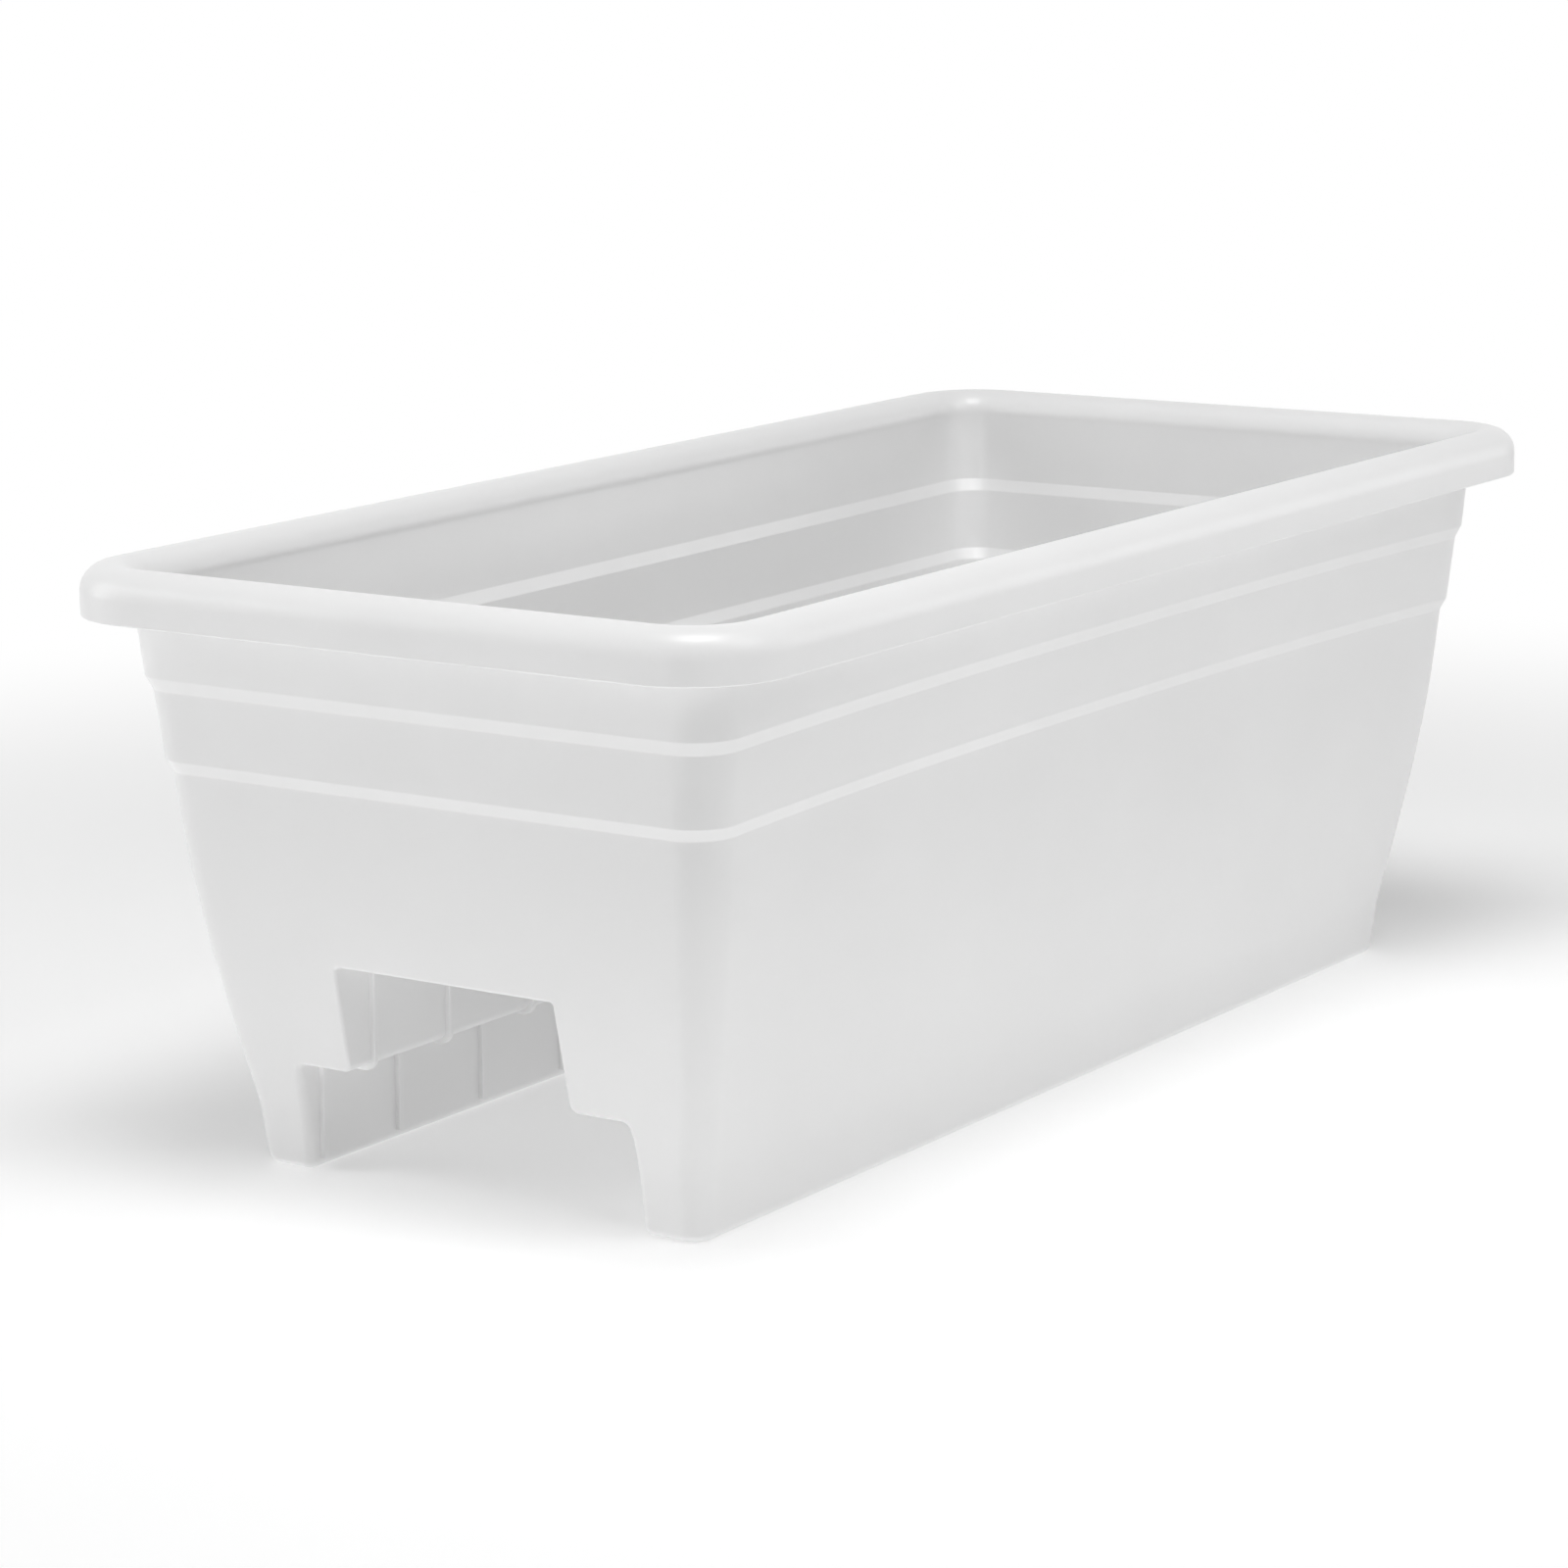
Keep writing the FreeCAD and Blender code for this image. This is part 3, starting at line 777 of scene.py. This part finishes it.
        x = np.array([s.half_length - self.station(float(z)).inset for z in points[:, 1]]) * side.value
        flip = (side is Side.LOW) == self.outwards
        work.add(np.column_stack([x, points]), faces, flip=flip)


def distance_out(points: Array, line: Array) -> Array:
    """How far points lie outside an outline, less than zero inside it.

    A point is inside where a level line from it towards +x crosses the shut outline an odd number
    of times.

    Args:
        points: points of a plane, one row each.
        line: the outline. An open one is shut straight from its end to its start.

    Returns:
        The distance to the nearest place on the outline, with its sign.
    """
    a, b = line[:-1], line[1:]
    d = b - a
    t = np.clip(((points[:, None] - a) * d).sum(-1) / np.maximum((d * d).sum(-1), TINY), 0, 1)
    away = np.linalg.norm(points[:, None] - (a + d * t[..., None]), axis=-1).min(1)
    x, y = points[:, 0], points[:, 1]
    shut = np.concatenate([line, line[:1]])
    a, b = shut[:-1], shut[1:]
    crossing = (a[:, 1] > y[:, None]) != (b[:, 1] > y[:, None])
    rise = np.where(b[:, 1] == a[:, 1], 1.0, b[:, 1] - a[:, 1])
    at = a[:, 0] + (y[:, None] - a[:, 1]) / rise * (b[:, 0] - a[:, 0])
    inside = (crossing & (x[:, None] < at)).sum(1) % 2 == 1
    return np.where(inside, -away, away)


def flat_patch(outline: Array, holes: list[Array], inner: Array) -> tuple[Array, Array]:
    """Triangles that fill a flat outline, leave its holes open and use the inner points.

    Args:
        outline: closed outline, one row a point.
        holes: closed outlines of holes.
        inner: further points inside.

    Returns:
        The points, and the triangles as rows of four with the last number repeated, all turning
        the same way as x to y.
    """
    loops = [outline] + holes
    edges, start = [], 0
    for loop in loops:
        n = len(loop)
        edges += [(start + k, start + (k + 1) % n) for k in range(n)]
        start += n
    points = np.concatenate(loops + [inner])
    verts, _, faces, *_ = delaunay_2d_cdt([Vector(p) for p in points.tolist()], edges, [], 0, SAME_PLACE)
    made = np.array([tuple(v) for v in verts])
    triangles = np.array([f for f in faces if len(f) == 3])
    middle = made[triangles].mean(1)
    keep = distance_out(middle, np.concatenate([outline, outline[:1]])) < 0
    for hole in holes:
        keep &= distance_out(middle, np.concatenate([hole, hole[:1]])) > 0
    triangles = triangles[keep]
    nearest = ((made[:, None] - points[None]) ** 2).sum(-1).argmin(1)
    close = ((made - points[nearest]) ** 2).sum(-1) < SNAP_SQUARED
    made = np.where(close[:, None], points[nearest], made)
    a, b, c = (made[triangles[:, k]] for k in range(3))
    turn = (b[:, 0] - a[:, 0]) * (c[:, 1] - a[:, 1]) - (b[:, 1] - a[:, 1]) * (c[:, 0] - a[:, 0])
    triangles[turn < 0] = triangles[turn < 0][:, ::-1]
    return made, np.column_stack([triangles, triangles[:, 2]])


@dataclass
class Drains:
    """The four drains: a raised seat on a foot's floor, with a well under it and a bore through.

    Args:
        sizes: the box's sizes.
        along: how far a drain lies from the middle along the box.
        across: the same across it.
        columns: columns round a drain.
        seat_radius: radius of the seat.
        seat_top: height of the seat's top.
        well_radius: radius of the well under it.
        well_depth: depth of the well.
        bore_radius: radius of the bore.
        edge: rounding between the sole and the well.
        well_edge: rounding at the well's roof.
        bore_edge: rounding between the bore and the seat's top.
        seat_edge: rounding of the seat's outer edge.
        edge_segments: straight pieces in each rounding.
    """

    sizes: BoxSizes
    along: float = 170.0
    across: float = 88.65
    columns: int = 64
    seat_radius: float = 8.75
    seat_top: float = 5.5
    well_radius: float = 6.25
    well_depth: float = 3.0
    bore_radius: float = 4.3
    edge: float = 0.35
    well_edge: float = 0.3
    bore_edge: float = 0.4
    seat_edge: float = 0.5
    edge_segments: int = 3

    def centres(self) -> list[Array]:
        """Centres (x, y) of the drains."""
        return [np.array([a.value * self.along, b.value * self.across]) for a in Side for b in Side]

    def circle(self) -> Array:
        """Points (x, y) of a circle of radius 1, one for each column."""
        angles = np.linspace(0, 2 * math.pi, self.columns + 1)[:-1]
        return np.stack([np.cos(angles), np.sin(angles)], 1)

    def build(self, work: Patchwork) -> None:
        """Turn the drains' section round their centres, from the sole up and over to the floor.

        Args:
            work: the mesh that they go into.
        """
        section = np.array([
            (self.well_radius + self.edge, 0.0), (self.well_radius, 0.0),
            (self.well_radius, self.well_depth), (self.bore_radius, self.well_depth),
            (self.bore_radius, self.seat_top), (self.seat_radius, self.seat_top),
            (self.seat_radius, self.sizes.wall)])
        radii = np.array([0, self.edge, self.well_edge, self.well_edge, self.bore_edge, self.seat_edge, 0])
        line = rounded(section, radii, self.edge_segments)
        circle = self.circle()
        for centre in self.centres():
            plan = centre + line[:, None, :1] * circle[None]
            height = np.broadcast_to(line[:, None, 1:], (len(line), self.columns, 1))
            work.grid(np.concatenate([plan, height], 2), closed=True, flip=True)


@dataclass
class Hoops:
    """Thin hoops that stand into the rail slot, from foot to foot.

    Args:
        sizes: the box's sizes.
        stand: how far a hoop stands out of the slot's wall.
        width: its width along the box.
        base: height where it starts.
        root: how deep it is buried in the wall.
        edge: rounding of its outer edges.
        root_radius: inner corner of its face under the ledge.
        top_radius: inner corner of its face at the top of the slot.
        edge_segments: straight pieces in each rounding.
        places: distances of the hoops from the middle of the box.
    """

    sizes: BoxSizes
    stand: float = 2.0
    width: float = 2.6
    base: float = 4.0
    root: float = 0.6
    edge: float = 0.55
    root_radius: float = 0.7
    top_radius: float = 0.5
    edge_segments: int = 4
    places: tuple[float, ...] = (0.0, 50.8, 101.6, 152.4, 203.2, 247.2)

    def build(self, work: Patchwork) -> None:
        """Sweep each hoop's section along the slot's outline, and close its two feet.

        A point of the section that stands a share of the way out lies that share of the way from
        the buried outline to the outline of the hoop's face.

        Args:
            work: the mesh that they go into.
        """
        s = self.sizes
        under = Arch.grown(s, self.root, self.base)
        over = Arch(s, -self.stand, self.root_radius, s.slot_nose_radius + self.stand,
                    self.top_radius, self.base)
        low, _ = under.line(math.inf)
        high, _ = over.line(math.inf)
        half, rise, buried = self.width / 2, self.stand + self.root, self.root / 2
        corners = np.array([(-half, 0.0), (-half, buried), (-half, rise),
                            (half, rise), (half, buried), (half, 0.0)])
        section = rounded(corners, np.array([0, 0, self.edge, self.edge, 0, 0]), self.edge_segments)
        share = section[:, 1] / rise
        path = low[:, None] + (high - low)[:, None] * share[None, :, None]
        places = sorted({sign * x for x in self.places for sign in (-1, 1)})
        count = len(section) // 2
        for place in places:
            x = np.broadcast_to((place + section[:, 0])[None, :, None], path.shape[:2] + (1,))
            rows = np.concatenate([x, path], 2)
            work.grid(rows, closed=True, flip=True)
            for k, flip in ((0, False), (-1, True)):
                cap = np.stack([rows[k, :count], rows[k, ::-1][:count]])
                work.grid(cap, flip=flip)


@dataclass
class Shell:
    """The whole moulded box: two skins, the rolled rim between them, drains and hoops.

    Args:
        sizes: the box's sizes.
        ring: how its rings are sampled.
        outer_mouth_radius: rounding of the slot's mouths above the feet, outside.
        inner_mouth_radius: the same on the side of the soil.
        rim_segments: straight pieces in each rounding of the rim.
    """

    sizes: BoxSizes = field(default_factory=BoxSizes)
    ring: Ring = field(default_factory=Ring)
    outer_mouth_radius: float = 1.2
    inner_mouth_radius: float = 0.5
    rim_segments: int = 12

    def outside(self) -> Skin:
        """The skin that is seen from outside.

        Returns:
            The skin.
        """
        s, drains = self.sizes, Drains(self.sizes)
        return Skin(
            sizes=s, ring=self.ring, shift=0.0, floor=0.0, edge_radius=s.foot_radius,
            mouth_radius=s.foot_radius, ledge_mouth_radius=self.outer_mouth_radius,
            arch=Arch.grown(s, 0.0, s.feet_top), drain_radius=drains.well_radius + drains.edge,
            outwards=True)

    def inside(self) -> Skin:
        """The skin that faces the soil.

        Returns:
            The skin.
        """
        s, small = self.sizes, self.sizes.foot_radius - self.sizes.wall
        return Skin(
            sizes=s, ring=self.ring, shift=s.wall, floor=s.wall, edge_radius=small, mouth_radius=small,
            ledge_mouth_radius=self.inner_mouth_radius, arch=Arch.grown(s, s.wall, s.feet_top),
            drain_radius=Drains(s).seat_radius, outwards=False)

    def rim(self) -> list[Station]:
        """The rolled rim, whose section is a rounded outline carried round the box.

        Returns:
            Its stations, from under the lip over the crest to the inner neck.
        """
        s = self.sizes
        out, under = s.rim_overhang, s.rim_overhang - s.wall
        lip, roof = s.crest - s.rim_drop, s.crest - s.wall
        section = np.array([(0.0, s.root), (0.0, roof), (under, roof), (under, lip), (out, lip),
                            (out, s.crest), (-s.wall, s.crest), (-s.wall, s.root)])
        radii = np.array([0, s.rim_inner_radius - s.wall, s.rim_outer_radius - s.wall, s.lip_edge_radius,
                          s.lip_edge_radius, s.rim_outer_radius, s.rim_inner_radius, 0])
        line = rounded(section, radii, self.rim_segments)
        return [Station(float(z), float(-d), s.corner_top + float(d)) for d, z in line[1:-1]]

    def build(self, material: bpy.types.Material) -> bpy.types.Object:
        """Build the box.

        Args:
            material: its finish.

        Returns:
            The box.
        """
        outside, inside = self.outside(), self.inside()
        stations = outside.wall_profile() + self.rim() + inside.wall_profile()[::-1]
        work = Patchwork()
        work.grid(np.stack([self.ring.whole(self.sizes, s) for s in stations]), closed=True)
        for skin in (outside, inside):
            skin.feet(work)
            skin.slot_and_ends(work)
        Drains(self.sizes).build(work)
        piece = make_piece("box_shell", work.mesh("box_shell"), material, "box")
        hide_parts("planter_box")
        return piece

    def build_hoops(self, material: bpy.types.Material) -> bpy.types.Object:
        """Build the hoops as one piece.

        Args:
            material: their finish.

        Returns:
            The hoops.
        """
        work = Patchwork()
        Hoops(self.sizes).build(work)
        piece = make_piece("slot_hoops", work.mesh("slot_hoops"), material, "box")
        return piece


def mapped(
    tree: bpy.types.NodeTree, value: bpy.types.NodeSocket, source: tuple[float, float],
    result: tuple[float, float], gentle: bool = False,
) -> bpy.types.NodeSocket:
    """Map a value from one range to another.

    Args:
        tree: node tree.
        value: the value.
        source: its low and its high.
        result: what these two turn into.
        gentle: start and end the change gently, not along a straight line.

    Returns:
        The mapped value.
    """
    span = tree.nodes.new("ShaderNodeMapRange")
    span.interpolation_type = "SMOOTHSTEP" if gentle else "LINEAR"
    span.inputs["From Min"].default_value, span.inputs["From Max"].default_value = source
    span.inputs["To Min"].default_value, span.inputs["To Max"].default_value = result
    tree.links.new(value, span.inputs["Value"])
    return span.outputs["Result"]


@dataclass(frozen=True)
class MouldedPlastic:
    """A satin moulded plastic: nearly one colour, with slight mottling and a fine skin texture.

    Args:
        name: name of the material.
        shade: grey level of the colour.
        mottle: how far the colour wanders from its level.
        roughness: roughness of the skin.
        skin: height of the skin's texture, in metres.
        wave: height of the slow waviness of a large moulding, in metres.
        refraction: index of refraction.
        gloss_fall: how far the roughness falls below its level.
        gloss_rise: how far it rises above.
        usual: the noise's usual low and high.
        mottle_noise: scale and detail of the mottling.
        gloss_noise: the same of the unevenness in gloss.
        skin_noise: the same of the skin's texture.
        wave_noise: the same of the waviness.
        skin_strength: strength of the skin's texture.
        wave_strength: strength of the waviness.
    """

    name: str
    shade: float
    mottle: float
    roughness: float
    skin: float
    wave: float
    refraction: float = 1.49
    gloss_fall: float = 0.03
    gloss_rise: float = 0.04
    usual: tuple[float, float] = (0.3, 0.7)
    mottle_noise: tuple[float, float] = (14.0, 4.0)
    gloss_noise: tuple[float, float] = (60.0, 5.0)
    skin_noise: tuple[float, float] = (900.0, 3.0)
    wave_noise: tuple[float, float] = (9.0, 1.0)
    skin_strength: float = 0.35
    wave_strength: float = 0.5

    def noise(self, tree: bpy.types.NodeTree, scale: float, detail: float) -> bpy.types.NodeSocket:
        """A noise over object coordinates.

        Args:
            tree: node tree.
            scale: scale of the noise, in turns a metre.
            detail: octaves.

        Returns:
            The noise's value.
        """
        place = tree.nodes.new("ShaderNodeTexCoord")
        noise = tree.nodes.new("ShaderNodeTexNoise")
        noise.inputs["Scale"].default_value = scale
        noise.inputs["Detail"].default_value = detail
        tree.links.new(place.outputs["Object"], noise.inputs["Vector"])
        return noise.outputs["Fac"]

    def bump(
        self, tree: bpy.types.NodeTree, height: bpy.types.NodeSocket, strength: float, distance: float,
    ) -> bpy.types.Node:
        """Let a noise raise and lower the surface.

        Args:
            tree: node tree.
            height: the noise.
            strength: how strongly it shows.
            distance: its full height, in metres.

        Returns:
            The bump node.
        """
        bump = tree.nodes.new("ShaderNodeBump")
        bump.inputs["Strength"].default_value = strength
        bump.inputs["Distance"].default_value = distance
        tree.links.new(height, bump.inputs["Height"])
        return bump

    def build(self) -> bpy.types.Material:
        """Make the material.

        Returns:
            The material.
        """
        material = bpy.data.materials.new(self.name)
        material.use_nodes = True
        tree = material.node_tree
        shader = tree.nodes["Principled BSDF"]
        shader.inputs["IOR"].default_value = self.refraction
        shades = (self.shade - self.mottle, self.shade)
        mottle = mapped(tree, self.noise(tree, *self.mottle_noise), self.usual, shades)
        colour = tree.nodes.new("ShaderNodeCombineColor")
        for name in ("Red", "Green", "Blue"):
            tree.links.new(mottle, colour.inputs[name])
        tree.links.new(colour.outputs["Color"], shader.inputs["Base Color"])
        levels = (self.roughness - self.gloss_fall, self.roughness + self.gloss_rise)
        rough = mapped(tree, self.noise(tree, *self.gloss_noise), self.usual, levels)
        tree.links.new(rough, shader.inputs["Roughness"])
        wave = self.bump(tree, self.noise(tree, *self.wave_noise), self.wave_strength, self.wave)
        skin = self.bump(tree, self.noise(tree, *self.skin_noise), self.skin_strength, self.skin)
        tree.links.new(wave.outputs["Normal"], skin.inputs["Normal"])
        tree.links.new(skin.outputs["Normal"], shader.inputs["Normal"])
        return material


@dataclass
class Plugs:
    """The four drain plugs, kept as the CAD made them, with their own finish.

    Args:
        material: their finish.
    """

    material: bpy.types.Material

    def build(self) -> None:
        """Give every plug its finish."""
        names = [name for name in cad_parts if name.startswith("drain_plug")]
        for name in names:
            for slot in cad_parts[name].material_slots:
                slot.material = self.material
        log.info("drain plugs: %d with their own finish", len(names))


@dataclass
class Panel:
    """A soft box that lights the object.

    Args:
        name: name of the light.
        azimuth: direction it hangs in, in degrees from +X towards +Y.
        distance: how far it stands off, in metres.
        height: height of its middle, in metres.
        size: its width and height, in metres.
        power: its power in watts.
        target: the place that it faces.
    """

    name: str
    azimuth: float
    distance: float
    height: float
    size: tuple[float, float]
    power: float
    target: tuple[float, float, float] = (0.0, 0.0, 0.1)

    def build(self) -> None:
        """Hang the light and point it at the object."""
        data = bpy.data.lights.new(self.name, "AREA")
        data.shape = "RECTANGLE"
        data.size, data.size_y = self.size
        data.energy = self.power
        lamp = put(self.name, data)
        turn = math.radians(self.azimuth)
        place = Vector((self.distance * math.cos(turn), self.distance * math.sin(turn), self.height))
        lamp.location = place
        lamp.rotation_euler = (Vector(self.target) - place).to_track_quat("-Z", "Y").to_euler()


@dataclass
class Studio:
    """The photograph's setting: a glowing white table, soft light round the box, and the camera.

    Args:
        eye: place of the camera, in millimetres.
        yaw: the way it looks, in degrees from +X towards +Y.
        pitch: how far it looks down, in degrees.
        roll: how far it is turned about its line of sight, in degrees.
        focal_pixels: its focal length in pixels of the photograph.
        photo_pixels: width of the photograph.
        sensor: width of its sensor, in millimetres.
        clip: the nearest and farthest it sees, in metres.
        sky: strength of the world's light.
        sky_dim: the same from behind the camera.
        sky_turn: cosines between which the one passes into the other.
        table_reach: half the table's width, in metres.
        table_grey: level of the table's colour.
        table_glow: strength of the light that the table gives the box.
        table_lift: strength of the glow that is seen on it.
        table_near: where the table starts to fade to white, in metres from the middle of the box.
        table_far: where it is white.
        panels: the soft boxes.
    """

    eye: tuple[float, float, float] = (-1514.299, -1018.860, 491.732)
    yaw: float = 34.87756781
    pitch: float = 11.82957827
    roll: float = -0.92284887
    focal_pixels: float = 4744.945
    photo_pixels: float = 1600.0
    sensor: float = 36.0
    clip: tuple[float, float] = (0.05, 60.0)
    sky: float = 0.06
    sky_dim: float = 0.0
    sky_turn: tuple[float, float] = (0.25, 0.95)
    table_reach: float = 12.0
    table_grey: float = 0.9
    table_glow: float = 0.385
    table_lift: float = 0.25
    table_near: float = 0.4
    table_far: float = 1.1
    panels: tuple[Panel, ...] = (
        Panel("top_panel", 214.0, 0.6, 1.9, (1.0, 1.0), 21.9),
        Panel("left_panel", 124.0, 1.8, 0.6, (0.9, 1.2), 8.0),
        Panel("right_panel", 270.0, 1.2, 1.3, (0.8, 0.8), 5.2),
        Panel("far_panel", 325.0, 2.0, 0.45, (0.7, 0.9), 3.0),
        Panel("left_strip", 181.0, 2.2, 0.25, (0.4, 0.6), 3.0),
    )

    def camera(self) -> None:
        """Set up the camera that the photograph was measured to have."""
        yaw, pitch, roll = (math.radians(v) for v in (self.yaw, self.pitch, self.roll))
        ahead = Vector((math.cos(yaw) * math.cos(pitch), math.sin(yaw) * math.cos(pitch), -math.sin(pitch)))
        right = Vector((math.sin(yaw), -math.cos(yaw), 0.0))
        up = right.cross(ahead)
        right, up = (math.cos(roll) * right + math.sin(roll) * up,
                     math.cos(roll) * up - math.sin(roll) * right)
        data = bpy.data.cameras.new("photo_camera")
        data.sensor_width = self.sensor
        data.lens = self.focal_pixels * self.sensor / self.photo_pixels
        data.clip_start, data.clip_end = self.clip
        camera = put("photo_camera", data)
        turn = Matrix((right, up, -ahead)).transposed().to_4x4()
        camera.matrix_world = Matrix.Translation(Vector(self.eye) * MM) @ turn
        bpy.context.scene.camera = camera

    def seen(self, tree: bpy.types.NodeTree) -> bpy.types.NodeSocket:
        """Tell the rays that show a background from those that only carry light.

        Args:
            tree: node tree.

        Returns:
            A value of 1 for what the camera sees straight, in gloss or through glass, and else 0.
        """
        path = tree.nodes.new("ShaderNodeLightPath")
        value = path.outputs["Is Camera Ray"]
        for name in ("Is Glossy Ray", "Is Transmission Ray"):
            either = tree.nodes.new("ShaderNodeMath")
            either.operation = "MAXIMUM"
            tree.links.new(value, either.inputs[0])
            tree.links.new(path.outputs[name], either.inputs[1])
            value = either.outputs["Value"]
        return value

    def floor_finish(self) -> bpy.types.Material:
        """The table's finish: pale, glowing a little, and fading to white away from the box.

        Returns:
            The material.
        """
        material = bpy.data.materials.new("table")
        material.use_nodes = True
        tree = material.node_tree
        tree.nodes.clear()
        output = tree.nodes.new("ShaderNodeOutputMaterial")
        pale = tree.nodes.new("ShaderNodeBsdfDiffuse")
        pale.inputs["Color"].default_value = (self.table_grey,) * 3 + (1.0,)
        seen = self.seen(tree)
        glow = tree.nodes.new("ShaderNodeEmission")
        level = mapped(tree, seen, NONE_TO_ALL, (self.table_glow, self.table_lift))
        tree.links.new(level, glow.inputs["Strength"])
        both = tree.nodes.new("ShaderNodeAddShader")
        tree.links.new(pale.outputs["BSDF"], both.inputs[0])
        tree.links.new(glow.outputs["Emission"], both.inputs[1])
        white = tree.nodes.new("ShaderNodeEmission")
        place = tree.nodes.new("ShaderNodeTexCoord")
        away = tree.nodes.new("ShaderNodeVectorMath")
        away.operation = "LENGTH"
        tree.links.new(place.outputs["Object"], away.inputs[0])
        near_and_far = (self.table_near, self.table_far)
        fade = mapped(tree, away.outputs["Value"], near_and_far, NONE_TO_ALL, gentle=True)
        share = tree.nodes.new("ShaderNodeMath")
        share.operation = "MULTIPLY"
        tree.links.new(fade, share.inputs[0])
        tree.links.new(seen, share.inputs[1])
        mix = tree.nodes.new("ShaderNodeMixShader")
        tree.links.new(share.outputs["Value"], mix.inputs["Fac"])
        tree.links.new(both.outputs["Shader"], mix.inputs[1])
        tree.links.new(white.outputs["Emission"], mix.inputs[2])
        tree.links.new(mix.outputs["Shader"], output.inputs["Surface"])
        return material

    def floor(self) -> None:
        """Lay the table that the box stands on."""
        reach = self.table_reach
        mesh = bpy.data.meshes.new("table")
        corners = [(-reach, -reach, 0.0), (reach, -reach, 0.0), (reach, reach, 0.0), (-reach, reach, 0.0)]
        mesh.from_pydata(corners, [], [(0, 1, 2, 3)])
        mesh.materials.append(self.floor_finish())
        floor = put("table", mesh)

    def sky_light(self) -> None:
        """Light everything softly from all round, least from behind the camera."""
        world = bpy.data.worlds.new("studio")
        bpy.context.scene.world = world
        world.use_nodes = True
        tree = world.node_tree
        shade = tree.nodes["Background"]
        shade.inputs["Color"].default_value = (1.0, 1.0, 1.0, 1.0)
        place = tree.nodes.new("ShaderNodeTexCoord")
        toward = tree.nodes.new("ShaderNodeVectorMath")
        toward.operation = "DOT_PRODUCT"
        toward.inputs[1].default_value = Vector((self.eye[0], self.eye[1], 0.0)).normalized()
        tree.links.new(place.outputs["Generated"], toward.inputs[0])
        levels = (self.sky, self.sky_dim)
        level = mapped(tree, toward.outputs["Value"], self.sky_turn, levels, gentle=True)
        strength = tree.nodes.new("ShaderNodeMix")
        strength.inputs["B"].default_value = 1.0
        tree.links.new(self.seen(tree), strength.inputs["Factor"])
        tree.links.new(level, strength.inputs["A"])
        tree.links.new(strength.outputs["Result"], shade.inputs["Strength"])

    def build(self) -> None:
        """Set up the whole studio."""
        bpy.context.scene.view_settings.view_transform = "Standard"
        self.camera()
        self.floor()
        self.sky_light()
        for panel in self.panels:
            panel.build()
        log.info("studio: %d panels", len(self.panels))


def main() -> None:
    """Build the scene, piece by piece."""
    logging.basicConfig(level=logging.INFO, format="%(name)s %(message)s")
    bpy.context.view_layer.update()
    Studio().build()
    plastic = MouldedPlastic(
        "white_plastic", shade=0.9, mottle=0.02, roughness=0.31, skin=0.00004, wave=0.0003).build()
    dull = MouldedPlastic(
        "plug_plastic", shade=0.84, mottle=0.02, roughness=0.5, skin=0.00004, wave=0.0001).build()
    shell = Shell()
    shell.build(plastic)
    shell.build_hoops(plastic)
    Plugs(dull).build()
    bpy.context.view_layer.update()


if __name__ == "__main__":
    main()
